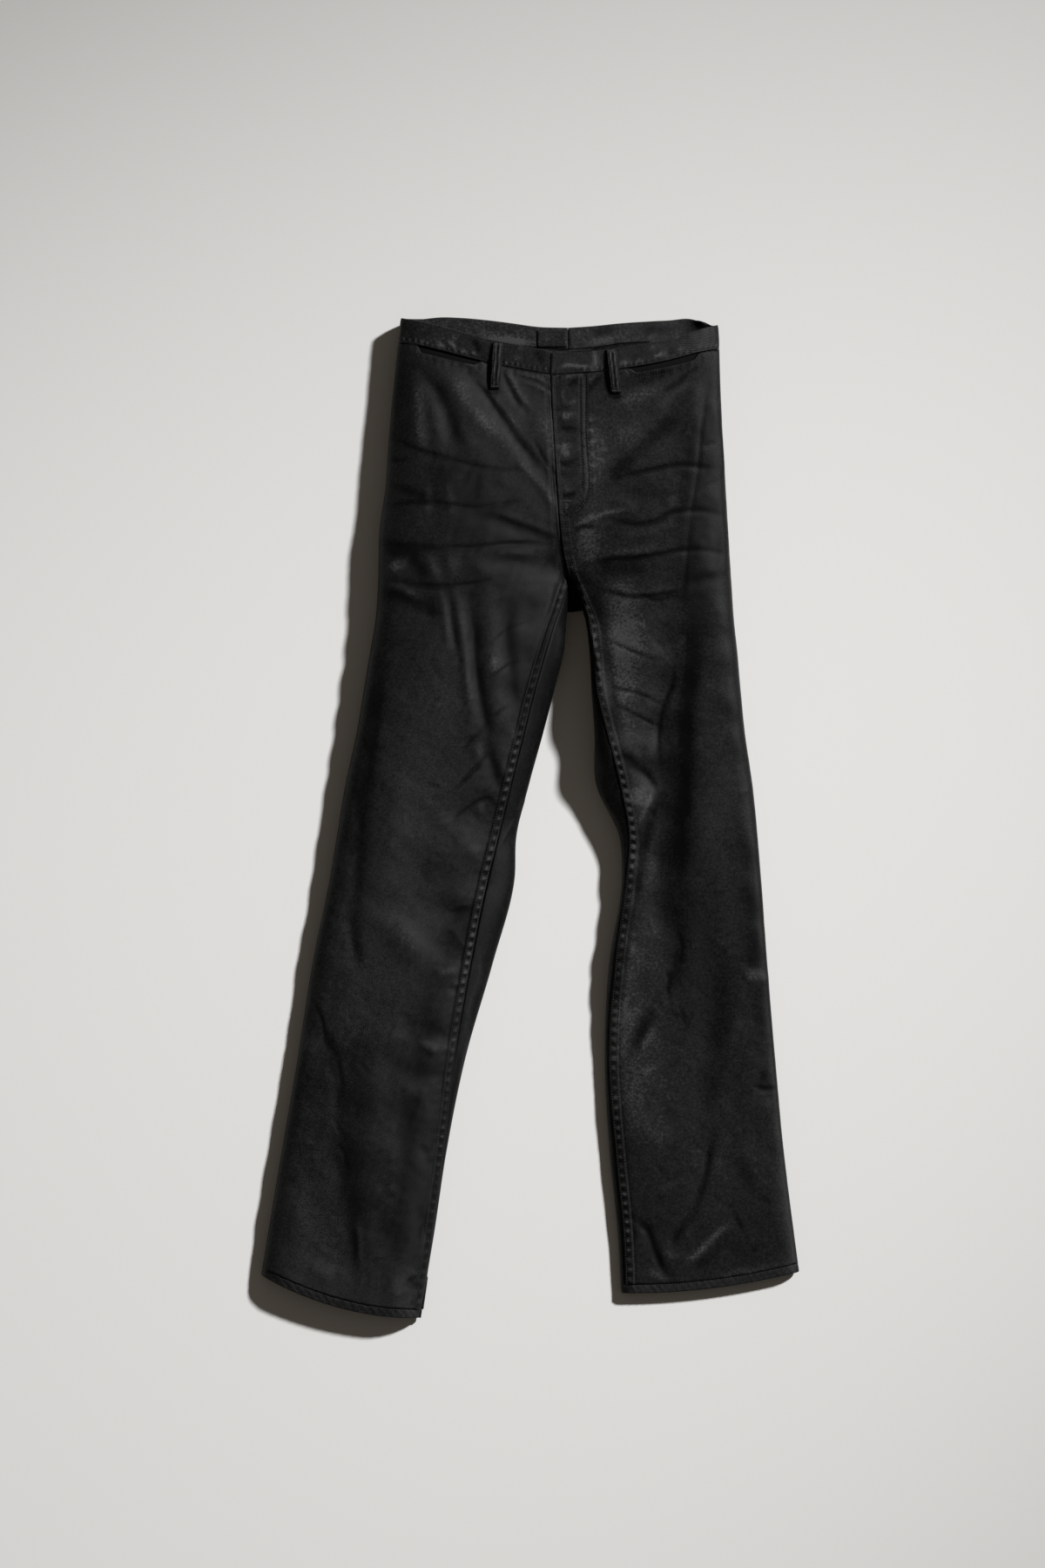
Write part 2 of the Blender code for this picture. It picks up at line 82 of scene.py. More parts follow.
bodyRow = namedtuple("bodyRow", "up rightOuter leftOuter centreFront")
bodySections = [
    bodyRow(1146, -147.0, 214.5, 25.5),
    bodyRow(1116, -150.0, 216.0, 25.5),
    bodyRow(1068, -155.5, 217.5, 25.8),
    bodyRow(1012, -160.5, 220.0, 28.5),
    bodyRow(952, -164.5, 223.5, 32.5),
    bodyRow(900, -171.5, 226.5, 36.5),
    bodyRow(872, -172.3, 228.3, 40.5),
    bodyRow(845, -172.8, 230.3, 47.5),
]
legRow = namedtuple("legRow", "up rightOuter rightInseam rightInner leftInner leftInseam leftOuter")
legSections = [
    legRow(845, -172.8, 47.5, 47.5, 48.5, 48.5, 230.3),
    legRow(800, -176.0, 26.5, 43.0, 64.5, 68.5, 233.2),
    legRow(765, -182.0, 15.0, 40.0, 69.0, 73.0, 237.0),
    legRow(720, -189.5, 2.0, 29.0, 71.5, 77.0, 241.0),
    legRow(670, -198.0, -10.5, 16.0, 75.0, 89.0, 246.0),
    legRow(612, -210.5, -25.0, 0.0, 77.0, 104.0, 254.5),
    legRow(552, -220.5, -39.5, -14.5, 103.5, 114.5, 260.5),
    legRow(504, -228.5, -51.5, -16.5, 106.5, 111.5, 264.5),
    legRow(408, -248.0, -71.0, -41.3, 92.0, 99.0, 271.5),
    legRow(300, -265.0, -89.0, -72.5, 87.0, 92.0, 280.5),
    legRow(192, -283.5, -102.0, -94.5, 92.5, 99.5, 290.5),
    legRow(96, -299.5, -115.0, -109.0, 102.0, 108.5, 302.5),
    legRow(3, -315.0, -128.0, -125.0, 107.0, 112.0, 315.0),
]
fillRow = namedtuple("fillRow", "up rightCrown leftCrown rightRound leftRound outerEdge innerEdge")
fillSections = [
    fillRow(1146, 43, 43, 85, 85, 26, 26),
    fillRow(1000, 53, 53, 105, 105, 25, 25),
    fillRow(900, 58, 58, 110, 110, 22, 24),
    fillRow(800, 54, 54, 95, 95, 16, 24),
    fillRow(640, 44, 43, 80, 80, 13, 20),
    fillRow(520, 36, 34, 70, 70, 12, 15),
    fillRow(380, 31, 26, 60, 55, 10, 11),
    fillRow(240, 28, 21, 48, 36, 9, 8),
    fillRow(110, 27, 17, 42, 22, 8.5, 7.5),
    fillRow(3, 26, 14, 38, 14, 8, 7),
]
waistRow = namedtuple(
    "waistRow",
    "share rightFrontTop rightFrontSeam leftFrontTop leftFrontSeam"
    " rightBackTop rightBackSeam leftBackTop leftBackSeam",
)
waistSections = [
    waistRow(1.00, 1107.0, 1081.0, 1105.5, 1081.0, 1136.0, 1111.5, 1136.0, 1111.5),
    waistRow(0.80, 1114.0, 1087.0, 1106.5, 1083.0, 1137.0, 1113.5, 1138.0, 1113.5),
    waistRow(0.60, 1120.5, 1094.0, 1111.5, 1087.0, 1141.5, 1117.0, 1141.0, 1118.0),
    waistRow(0.40, 1129.5, 1102.5, 1117.5, 1093.0, 1145.5, 1120.0, 1143.0, 1119.5),
    waistRow(0.25, 1137.0, 1109.5, 1122.0, 1099.5, 1147.5, 1120.0, 1144.0, 1117.5),
    waistRow(0.12, 1142.0, 1115.0, 1132.0, 1106.5, 1148.0, 1119.5, 1143.0, 1115.0),
    waistRow(0.00, 1146.0, 1118.0, 1138.0, 1110.5, 1146.0, 1118.0, 1138.0, 1110.5),
]
hemRow = namedtuple("hemRow", "side inner bow")
hems = {"right": hemRow(49.0, 0.2, 12.7), "left": hemRow(53.0, 28.5, 6.5)}
sideOf = {"right": -1.0, "left": 1.0}


def smooth(table, column, up):
    heights = np.array([row[0] for row in table], float)[::-1]
    values = np.array([getattr(row, column) for row in table], float)[::-1]
    slopes = np.gradient(values, heights)
    cell = np.clip(np.searchsorted(heights, up) - 1, 0, len(heights) - 2)
    width = heights[cell + 1] - heights[cell]
    share = (up - heights[cell]) / width
    t = np.clip(share, 0, 1)
    curve = (
        values[cell] * (1 + 2 * t) * (1 - t) ** 2
        + values[cell + 1] * t * t * (3 - 2 * t)
        + width * slopes[cell] * t * (1 - t) ** 2
        - width * slopes[cell + 1] * t * t * (1 - t)
    )
    pastEnd = np.where(share > 1, slopes[cell + 1], slopes[cell])
    return curve + (share - t) * width * pastEnd


def mix(first, second, share):
    return first + (second - first) * share


def ease(share):
    t = np.clip(share, 0, 1)
    return t * t * (3 - 2 * t)


def quarterRound(share):
    return np.sqrt(np.clip(1 - (1 - np.clip(share, 0, 1)) ** 2, 0, 1))


def outerEdge(half, up):
    body = smooth(bodySections, half + "Outer", up)
    leg = smooth(legSections, half + "Outer", up)
    return np.where(up > cut["crotchUp"], body, leg) + cut["spread"][half]


def innerEdge(half, up):
    return smooth(legSections, half + "Inner", np.minimum(up, cut["crotchUp"]))


def halfGap(v):
    wider = ease(1 - np.abs(v - 1) / cut["crotchGapReach"])
    return mix(cut["seamGap"], cut["crotchGap"], wider) / 2


def frontLine(half, up):   # the centre front, then the inseam
    centre = smooth(bodySections, "centreFront", up)
    inseam = smooth(legSections, half + "Inseam", up)
    return np.where(up > cut["crotchUp"], centre, inseam)


def topHeight(half, across, up):
    side = sideOf[half]
    fromOuter = np.maximum(side * (outerEdge(half, up) - across), 0)
    centre = smooth(bodySections, "centreFront", np.maximum(up, cut["crotchUp"]))
    fromCrotch = np.hypot(across - centre, np.maximum(up - cut["crotchUp"], 0))
    fromEdge = np.maximum(side * (across - innerEdge(half, up)), 0)
    fromInner = np.where(up > cut["crotchUp"], fromCrotch, fromEdge)
    crown = smooth(fillSections, half + "Crown", up)
    reach = smooth(fillSections, half + "Round", up)
    edge = mix(
        smooth(fillSections, "outerEdge", up),
        smooth(fillSections, "innerEdge", up),
        fromOuter / np.maximum(fromOuter + fromInner, 1e-6),
    )
    return mix(edge, crown, quarterRound(fromOuter / reach) * quarterRound(fromInner / reach))


def rowEnds(half, v):   # v: -1 to 0 waistband, 0 to 1 body, 1 to 2 leg, 2 to 3 hem
    side, middle = waistSections[-1], waistSections[0]
    sideTop, sideSeam = (getattr(side, half + "Front" + line) for line in ("Top", "Seam"))
    frontTop, frontSeam = (getattr(middle, half + "Front" + line) for line in ("Top", "Seam"))
    backTop, backSeam = (getattr(middle, half + "Back" + line) for line in ("Top", "Seam"))
    hem = hems[half]
    band, body, leg = np.clip(v + 1, 0, 1), np.clip(v, 0, 1), np.clip(v - 1, 0, 1)
    turnUp = cut["hemDepth"] * (1 - np.clip(v - 2, 0, 1))
    outer = mix(mix(sideTop, sideSeam, band), cut["crotchSideUp"], body)
    outer = np.where(v > 1, mix(cut["crotchSideUp"], hem.side + turnUp, leg), outer)
    front = mix(mix(frontTop, frontSeam, band), cut["crotchUp"], body)
    front = np.where(v > 1, mix(cut["crotchUp"], hem.inner + turnUp, leg), front)
    toFold = np.clip(v / cut["climbFrom"], 0, 1)
    back = mix(mix(backTop, backSeam, band), cut["crotchFoldUp"], toFold)
    climbing = np.clip((v - cut["climbFrom"]) / (1 - cut["climbFrom"]), 0, 1)
    under = mix(cut["crotchFoldUp"], cut["crotchUp"] - cut["skewAtCrotch"], climbing)
    under = np.where(v > 1, front - cut["skewAtCrotch"] * (1 - leg) ** 3, under)
    return outer, front, back, under


def waistBend(half, layer, share, v):
    bends = []
    for line in ("Top", "Seam"):
        column = half + layer + line
        ends = [getattr(waistSections[k], column) for k in (-1, 0)]
        bends.append(smooth(waistSections, column, share) - mix(*ends, share))
    return mix(*bends, np.clip(v + 1, 0, 1)) * (1 - np.clip(v, 0, 1)) ** 2


def rollReach(edgeHeight):
    return cut["rollSpread"] * edgeHeight + cut["rollStart"]


def frontArc(half, u, v):
    outerUp, frontUp, _, _ = rowEnds(half, v)
    arc = 1 - u * (1 + cut["sideWrap"])
    share = np.sin(np.clip(arc, 0, 1) * np.pi / 2) ** 2
    sag = hems[half].bow * 4 * share * (1 - share) * np.clip(v - 1, 0, 1) ** 3
    up = mix(outerUp, frontUp, share) + waistBend(half, "Front", share, v) - sag
    inner = frontLine(half, frontUp) + sideOf[half] * halfGap(v) + seamShift(half, frontUp)
    across = mix(outerEdge(half, outerUp), inner, share)
    edge = smooth(fillSections, "outerEdge", up)
    turn = cut["wrapTurn"] * np.clip(-arc, 0, None)
    rolledIn = across - sideOf[half] * rollReach(edge) * (1 - np.cos(turn))
    height = np.where(turn > 0, edge * (1 - np.sin(turn)), topHeight(half, across, up))
    return np.stack([rolledIn, up, height], -1)


def seamShift(half, up):
    return cut["inseamShift"][half] * ease((cut["crotchUp"] - up) / cut["inseamShiftIn"])


def outerRoll(half, u, outerUp):
    edge = smooth(fillSections, "outerEdge", outerUp)
    start = cut["wrapTurn"] * cut["sideWrap"] + cut["seamGap"] / edge
    turn = mix(start, np.pi / 2, np.clip(u - 1, 0, 1))
    across = outerEdge(half, outerUp) - sideOf[half] * rollReach(edge) * (1 - np.cos(turn))
    return across, edge * (1 - np.sin(turn))


def bodyBackArc(half, u, v):
    outerUp, _, backUp, _ = rowEnds(half, v)
    rolled, height = outerRoll(half, u, outerUp)
    share = np.interp(u, [2, 3, 5], [0, cut["seatHinge"], 1])
    up = mix(outerUp, backUp, share) + waistBend(half, "Back", share, v)
    downSeat = (backUp - cut["crotchFoldUp"]) / (cut["length"] - cut["crotchFoldUp"])
    centreBack = mix(cut["centreBackFold"], cut["centreBackTop"], downSeat)
    centreBack = centreBack + sideOf[half] * cut["seamGap"] / 2
    lift = cut["seatLift"] * ease((up - cut["seatLiftFrom"]) / cut["seatLiftIn"]) * ease(u - 1)
    return np.stack([mix(rolled, centreBack, share), up, height + lift], -1)


def legBackArc(half, u, v):
    side = sideOf[half]
    outerUp, frontUp, _, underUp = rowEnds(half, v)
    frontUp = np.minimum(frontUp, cut["crotchUp"])
    edgeUp = mix(underUp, frontUp, cut["innerRollShare"])
    rolled, height = outerRoll(half, u, outerUp)
    rise = smooth(fillSections, "innerEdge", edgeUp)
    landing = innerEdge(half, underUp) + side * rollReach(rise)
    floorShare, rollShare, topShare = (np.clip(u - k, 0, 1) for k in (2, 3, 4))
    turn = (1 - rollShare) * np.pi / 2
    edge = innerEdge(half, mix(underUp, edgeUp, rollShare))
    innerRoll = edge + side * rollReach(rise) * (1 - np.cos(turn))
    inseam = frontLine(half, np.minimum(frontUp, cut["crotchUp"] - 0.01)) - side * halfGap(v)
    inseam = inseam + seamShift(half, frontUp)
    overUp = mix(edgeUp, frontUp, topShare)
    inset = inseam - innerEdge(half, frontUp)
    over = innerEdge(half, overUp) + inset * topShare ** 2
    across = np.where(u < 3, mix(rolled, landing, floorShare), np.where(u < 4, innerRoll, over))
    up = np.where(u < 3, mix(outerUp, underUp, floorShare), mix(underUp, edgeUp, rollShare))
    up = np.where(u < 4, up, overUp)
    height = np.where(u < 2, height, np.where(u < 3, 0, rise * (1 - np.sin(turn))))
    height = np.where(u < 4, height, topHeight(half, over, overUp))
    return np.stack([across, up, height], -1)


def outside(half, u, v):   # u: 0 to 1 the front, 1 to 5 the back
    u, v = np.broadcast_arrays(np.asarray(u, float), np.asarray(v, float))
    climb = ease((v - cut["climbFrom"]) / (1 - cut["climbFrom"]))[..., None]
    back = mix(bodyBackArc(half, u, v), legBackArc(half, u, v), climb)
    return np.where((u <= 1)[..., None], frontArc(half, np.clip(u, 0, 1), v), back)


def outward(half, u, v):
    u, v = np.broadcast_arrays(np.asarray(u, float), np.asarray(v, float))
    stepU, stepV = 2e-3, 1e-3
    leg = v >= 1
    lowU = np.where(leg, (u - stepU) % 5, np.maximum(u - stepU, 0))
    highU = np.where(leg, (u + stepU) % 5, np.minimum(u + stepU, 5))
    lowV, highV = np.maximum(v - stepV, np.where(leg, 1, -1)), np.minimum(v + stepV, 3)
    alongU = outside(half, highU, v) - outside(half, lowU, v)
    alongV = outside(half, u, highV) - outside(half, u, lowV)
    normal = -sideOf[half] * np.cross(alongU, alongV)
    return normal / np.maximum(np.linalg.norm(normal, axis=-1, keepdims=True), 1e-9)


# Creases, listed as (width, depth, tone, path). Width is how far a crease reaches to each
# side, and depth its height (less than 0 is a trough). Tone lightens (above 0) or darkens (below 0)
# the coating's colour along it: painted highlight on ridges and painted shade in troughs, partly
# wear.
hipRight = [   # the wearer's right hip and front, left in the picture
    (2.6, -1.2, -1.08, [(446, 499), (464, 510), (487, 520), (516, 530), (552, 539), (598, 542)]),
    (2.3, -0.8, -0.84, [(444, 531), (457, 530), (470, 529)]),
    (4.5, -1, -0.6, [(444, 559), (461, 562), (480, 570), (500, 577)]),
    (2.6, -1.4, -1.2, [(443, 582), (480, 578), (514, 582), (548, 585), (577, 581), (599, 578)]),
    (9, -2, -0.5, [(530, 588), (560, 597), (591, 607), (614, 614), (633, 620), (645, 630)]),
    (4, 0.9, 0.5, [(560, 588), (590, 597), (612, 605), (643, 617)]),
    (5, -1.4, -0.9, [(438, 618), (452, 627), (478, 630), (494, 630)]),
    (2.8, -1.6, -1.2, [(484, 630), (514, 631), (540, 631), (566, 628), (600, 626), (632, 627)]),
    (5, -0.8, -0.7, [(442, 636), (458, 636), (484, 638)]),
    (10, 2.6, 0.9, [(449, 646), (455, 652), (459, 659)]),
    (8, -1.6, -0.7, [(466, 640), (480, 655), (490, 668)]),
    (5, 0.9, 0.5, [(490, 636), (497, 652), (504, 667)]),
    (7, 1, 0.3, [(516, 636), (518, 652), (520, 666)]),
    (8, 1.2, 0.5, [(543, 650), (558, 657), (572, 665)]),
    (6, 1, 0.4, [(566, 637), (590, 637), (616, 638)]),
    (8, -1.2, -0.35, [(566, 645), (592, 648), (618, 652)]),
    (3, -1.6, -1.2, [(452, 667), (476, 672), (499, 675), (530, 674), (556, 670), (574, 664)]),
    (3.4, 0.9, 0.7, [(444, 669), (461, 676), (482, 686)]),
    (6.5, -1.5, -0.7, [(438, 677), (453, 685), (470, 693), (500, 708)]),
    (9, -1, -0.4, [(486, 682), (492, 697), (496, 716)]),
    (6.5, -1, -0.3, [(643, 626), (634, 645), (622, 666), (608, 686)]),
    # the fan of drag folds from the pocket and the loop down to the fly
    (7, 1.3, 0.8, [(477, 432), (481, 467), (483, 498), (487, 530)]),
    (7, 0.9, 0.5, [(483, 437), (496, 461), (504, 496), (507, 524)]),
    (5, 0.7, 0.5, [(490, 551), (491, 575), (493, 600)]),
    (4, 0.4, 0.3, [(512, 552), (516, 572), (518, 598)]),
    (9, -2, -0.6, [(478, 424), (494, 441), (510, 467), (520, 498), (532, 524)]),
    (10, 1.8, 0.8, [(510, 421), (524, 441), (537, 464), (553, 484), (572, 502), (590, 522)]),
    (5, 1.4, 0.7, [(588, 522), (604, 541), (621, 559), (634, 578), (641, 598)]),
    (5.5, -2, -0.7, [(530, 422), (545, 437), (563, 461), (578, 484), (593, 507), (620, 537),
                     (640, 553)]),
    (3.2, 0.9, 0.5, [(538, 428), (559, 449), (572, 465), (585, 481), (597, 498)]),
    (3.2, 1.2, 0.7, [(580, 427), (589, 441), (598, 458), (608, 469)]),
    (3.3, -1.3, -0.6, [(576, 428), (583, 443), (592, 461), (603, 472)]),
    (3.2, 1, 0.6, [(585, 429), (604, 433), (618, 437), (633, 447)]),
    (3.2, 1.1, 0.6, [(598, 437), (613, 444), (624, 450), (634, 459)]),
    (3, -1.1, -0.6, [(590, 431), (606, 438), (620, 443), (634, 452)]),
    (12, 1.3, 0.6, [(618, 468), (627, 490), (633, 513), (637, 537)]),
    (2.5, -0.9, -0.6, [(612, 507), (626, 531), (640, 550)]),
    (14, -1.5, -0.45, [(462, 400), (460, 440), (456, 480), (454, 520)]),
    (20, -1.2, -0.3, [(520, 545), (534, 556), (556, 562)]),
    (5, 1, 0.9, [(532, 415), (541, 418), (551, 419)]),
    (4, 0.6, 0.5, [(468, 398), (484, 407), (500, 412)]),
    # painted shadow beside and under the belt loop
    (2.6, -0.3, -2.2, [(563, 420), (561, 450)]),   # beside and under the belt loop
    (2.2, -0.2, -2, [(561, 452), (573, 452.5)]),
]
thighRight = [
    (3.4, 0.9, 0.45, [(505, 678), (510, 698), (513, 721), (515, 745)]),
    (5.5, 1.8, 0.55, [(522, 678), (526, 698), (530, 721), (534, 751), (538, 785), (541, 815),
                      (544, 843)]),
    (4.5, -1.3, -0.3, [(515, 682), (518, 700), (522, 730), (527, 760)]),
    (6.5, -2.2, -0.7, [(539, 687), (543, 713), (545, 744), (548, 780), (554, 811), (559, 838),
                       (561, 859)]),
    (6.5, -2, -0.7, [(560, 856), (564, 876), (570, 895), (575, 910)]),
    (10, 1.9, 0.6, [(557, 676), (563, 705), (565, 735), (568, 765), (571, 795), (575, 830),
                    (583, 858)]),
    (8, 1, 0.8, [(560, 757), (567, 764), (574, 772)]),
    (7, -1.5, -0.4, [(588, 684), (583, 705), (582, 728), (584, 755), (588, 790), (592, 818),
                     (594, 836)]),
    (5, 1, 0.6, [(546, 852), (549, 862), (549, 874)]),
    (4, 0.9, 0.6, [(586, 833), (589, 843), (592, 850)]),
    (4, 1, 0.4, [(643, 656), (636, 670), (631, 690), (627, 706), (621, 725), (614, 746),
                 (606, 768)]),
    (9, -1.1, -0.25, [(612, 684), (607, 705), (604, 728)]),
    (2, -0.8, -0.84, [(553, 744), (568, 736), (581, 727), (592, 721), (603, 718), (615, 712)]),
    (2, -0.8, -0.84, [(560, 779), (572, 773), (582, 767), (594, 760)]),
    (2, -0.7, -0.84, [(565, 824), (575, 816), (585, 811)]),
    (2, -0.8, -0.84, [(529, 864), (541, 850), (550, 842), (558, 832)]),
    (2.1, -1, -0.96, [(517, 911), (531, 898), (543, 885), (552, 876), (561, 868)]),
    (2.1, -1, -0.96, [(516, 947), (527, 936), (541, 926), (552, 919), (563, 918), (570, 929)]),
    (12, 1.2, 0.35, [(546, 884), (549, 900), (550, 912)]),
    (8, 0.9, 0.4, [(505, 932), (511, 940), (514, 950)]),
    (4, 0.9, 0.6, [(550, 922), (552, 929), (553, 935)]),
    (7, 1.2, 0.7, [(538, 970), (543, 977), (548, 984)]),
    (4, 0.8, 0.5, [(577, 876), (580, 886), (581, 894)]),
    # the dark line inside the outer edge
    (9, -1.2, -0.5, [(440, 740), (432, 800), (426, 850), (420, 900), (414, 950), (412, 1000),
                     (410, 1060)]),
    (6, -0.5, -0.3, [(434, 785), (431, 816), (432, 842)]),
    (6, -0.5, -0.3, [(426, 840), (425, 876), (423, 904)]),
    (6, -0.5, -0.3, [(410, 892), (411, 919), (412, 945), (412, 973)]),
    (6, -0.5, -0.3, [(411, 980), (410, 1005), (408, 1034)]),
    (26, -1.6, -0.3, [(470, 990), (500, 1016), (520, 1042)]),
    (2.4, -0.5, -0.5, [(518, 1048), (532, 1043), (548, 1041)]),
]
calfRight = [
    (17, 3.4, 0.45, [(424, 1046), (452, 1062), (474, 1084), (494, 1106)]),
    (5.5, 1.7, 1, [(500, 1121), (508, 1117), (517, 1114), (524, 1109)]),
    (4, 0.8, 0.7, [(520, 1127), (526, 1129)]),
    (4.5, 0.9, 0.6, [(512, 1144), (518, 1142), (524, 1141)]),
    (2.4, 0.6, 0.4, [(517, 1063), (525, 1074), (536, 1087)]),
    (3, -0.6, -0.4, [(516, 1051), (528, 1047), (540, 1043)]),
    (7, -1.5, -0.5, [(404, 1040), (404, 1066), (407, 1088), (413, 1110)]),
    (5.5, 1.6, 0.9, [(478, 1199), (487, 1198), (495, 1202), (504, 1208)]),
    (4, 0.8, 0.5, [(505, 1203), (512, 1202), (519, 1200)]),
    (8, 0.8, 0.25, [(446, 1184), (456, 1190), (464, 1196)]),
    (10, -1.2, -0.35, [(478, 1180), (500, 1186), (518, 1190)]),
    (10, 1.3, 0.45, [(460, 1246), (476, 1252), (494, 1254)]),
    (9, -1, -0.3, [(470, 1226), (492, 1232), (512, 1236)]),
    (2.6, -0.8, -1.08, [(360, 1148), (367, 1162), (371, 1176), (374, 1196), (381, 1208)]),
    (8, -1.2, -0.8, [(376, 1186), (381, 1212), (386, 1240), (387, 1268), (388, 1296)]),
    (2.1, -0.7, -0.6, [(387, 1211), (390, 1229), (393, 1248)]),
    (2, -0.6, -0.6, [(378, 1280), (386, 1289), (393, 1303)]),
    (2, -0.6, -0.6, [(385, 1311), (394, 1322), (399, 1346)]),
    (14, -1.8, -1, [(388, 1300), (391, 1340), (396, 1380), (401, 1420), (406, 1452), (412, 1470)]),
    (4, 1.1, 0.25, [(410, 1400), (412, 1430), (413, 1455)]),
    (10, 1, 0.3, [(347, 1186), (355, 1198), (362, 1212)]),
    (18, 1, 0.1, [(322, 1330), (334, 1370), (344, 1410), (352, 1440)]),
    (10, 1.2, 0.35, [(350, 1452), (368, 1458), (388, 1464)]),
    (2.4, -0.5, -0.4, [(412, 1219), (418, 1226), (423, 1231)]),
    (5.5, -1.3, -0.5, [(484, 1312), (490, 1328), (497, 1346)]),
    (6, -1.4, -0.5, [(477, 1382), (486, 1404), (489, 1430)]),
    (4.5, -1.2, -0.5, [(470, 1464), (474, 1474), (479, 1482)]),
    (10, 1.4, 0.5, [(447, 1468), (454, 1478), (460, 1490)]),
    (14, 0.9, 0.2, [(440, 1300), (452, 1330), (450, 1360)]),
    (12, -1.1, -0.3, [(430, 1400), (448, 1424), (462, 1446)]),
]
hipLeft = [   # the wearer's left hip and front, right in the picture
    (2.6, -1.1, -0.84, [(805, 515), (814, 512), (823, 509)]),
    (3, -1.4, -1.08, [(704, 552), (724, 547), (747, 542), (772, 537), (801, 538), (826, 541)]),
    (2.6, -1.1, -0.84, [(798, 569), (811, 560), (826, 553)]),
    (3.1, -1.5, -1.08, [(700, 598), (726, 604), (750, 601), (770, 592), (801, 588), (832, 594)]),
    (2.6, 1.2, 0.9, [(654, 611), (668, 601), (686, 594), (703, 589), (726, 587)]),
    (2.1, -1, -0.84, [(655, 613), (668, 607), (684, 607)]),
    (3, -1.4, -1.08, [(670, 651), (700, 644), (730, 642), (762, 637), (801, 633), (836, 638)]),
    (11, -1.6, -0.5, [(676, 654), (705, 657), (742, 655)]),
    (4.5, 0.9, 0.4, [(690, 637), (722, 636), (760, 632)]),
    (2.8, -1.4, -1.08, [(688, 678), (706, 683), (726, 686), (750, 684), (782, 679)]),
    (2.1, -1, -0.96, [(736, 684), (752, 690), (774, 686)]),
    (2.8, 0.8, 0.6, [(734, 682), (752, 681), (778, 676)]),
    (6.5, -1.6, -0.7, [(785, 675), (805, 668), (822, 664), (838, 662)]),
    (8, 1.2, 0.4, [(797, 618), (803, 630), (802, 646), (798, 662)]),
    (7, -1.3, -0.5, [(823, 596), (824, 620), (822, 644), (817, 664)]),
    (6, 1, 0.5, [(826, 560), (828, 590), (831, 620), (834, 650)]),
    (12, -1, -0.3, [(716, 568), (742, 572), (770, 570)]),
    (4, 0.6, 0.5, [(764, 583), (771, 578), (776, 571)]),
    (6, 0.6, 0.3, [(702, 574), (722, 580), (736, 586)]),
    (4, 0.6, 0.35, [(712, 615), (742, 613), (768, 604)]),
    # the fan from the waist seam towards the fly
    (2.8, 1, 0.8, [(640, 440), (652, 435), (665, 432)]),
    (2.5, -0.8, -0.6, [(648, 447), (656, 443), (662, 438)]),
    (2.6, 0.8, 0.6, [(649, 444), (645, 455), (649, 466), (662, 462)]),
    (3, -1.2, -0.96, [(690, 432), (680, 443), (673, 454)]),
    (3, 0.9, 0.6, [(684, 432), (678, 438), (673, 442)]),
    (7, -1.3, -0.5, [(715, 447), (739, 440), (762, 431), (776, 424)]),
    (10, 1.2, 0.6, [(702, 469), (724, 460), (744, 452), (764, 443)]),
    (3, -1.1, -0.72, [(756, 454), (774, 444), (790, 430), (803, 423)]),
    (4, 1.1, 0.6, [(752, 473), (767, 459), (778, 450), (789, 442)]),
    (8, -1.9, -0.65, [(779, 462), (770, 482), (757, 497), (742, 510), (720, 530), (702, 547),
                      (682, 573)]),
    (8, 1.4, 0.4, [(799, 432), (798, 452), (795, 480), (786, 505), (782, 527)]),
    (12, 1.2, 0.35, [(700, 490), (716, 500), (726, 490)]),
    (12, 1, 0.3, [(684, 492), (688, 520), (690, 545)]),
    # the ridge where the front turns to the side
    (2, -1, -1.08, [(813, 443), (808, 466), (805, 488), (803, 510), (800, 544), (795, 574),
                    (791, 605)]),
    (2, -0.9, -0.96, [(791, 600), (788, 636), (785, 667), (783, 690)]),
    (6, 0.5, 0, [(803, 446), (799, 470), (796, 492), (793, 530), (787, 570), (782, 610),
                 (779, 650)]),
    (7, 1, 0.5, [(818, 456), (821, 470), (822, 488)]),
    (3, 1.3, 0.7, [(826, 494), (829, 520), (831, 548)]),
    # painted shadow beside and under the belt loop
    (2.6, -0.3, -2.2, [(696, 430), (699, 455)]),   # beside and under the belt loop
    (2.2, -0.2, -2, [(700, 457), (712, 457)]),
]
flyLeft = [
    (4.5, 1, 1.1, [(643, 480), (650, 480), (656, 479)]),
    (7, 1, 1.3, [(647, 509), (647.5, 519), (648, 528)]),
    (4, -0.8, -0.4, [(641, 494), (650, 495), (660, 493)]),
    (4.5, -0.9, -0.6, [(641, 537), (650, 535), (661, 530)]),
    (4.5, 0.7, 0.5, [(646, 556), (650, 563), (652, 568)]),
    (2.6, -0.8, -0.72, [(645, 572), (652, 571), (660, 568)]),
    (4.5, 0.9, 0.7, [(647, 583), (652, 584)]),
    (2.4, 0.8, 0.8, [(675, 485), (679, 483)]),
    (2.4, 0.9, 0.9, [(675, 498), (680, 496)]),
    (2.4, 0.9, 1, [(676, 511), (681, 509)]),
    (2.4, 0.9, 1, [(676, 524), (681, 522)]),
    (2.2, 0.6, 0.7, [(677, 538), (681, 536)]),
    (2.2, 0.6, 0.7, [(678, 555), (682, 553)]),
    (5, 0.6, 0.4, [(655, 455), (658, 470), (659, 486)]),
]
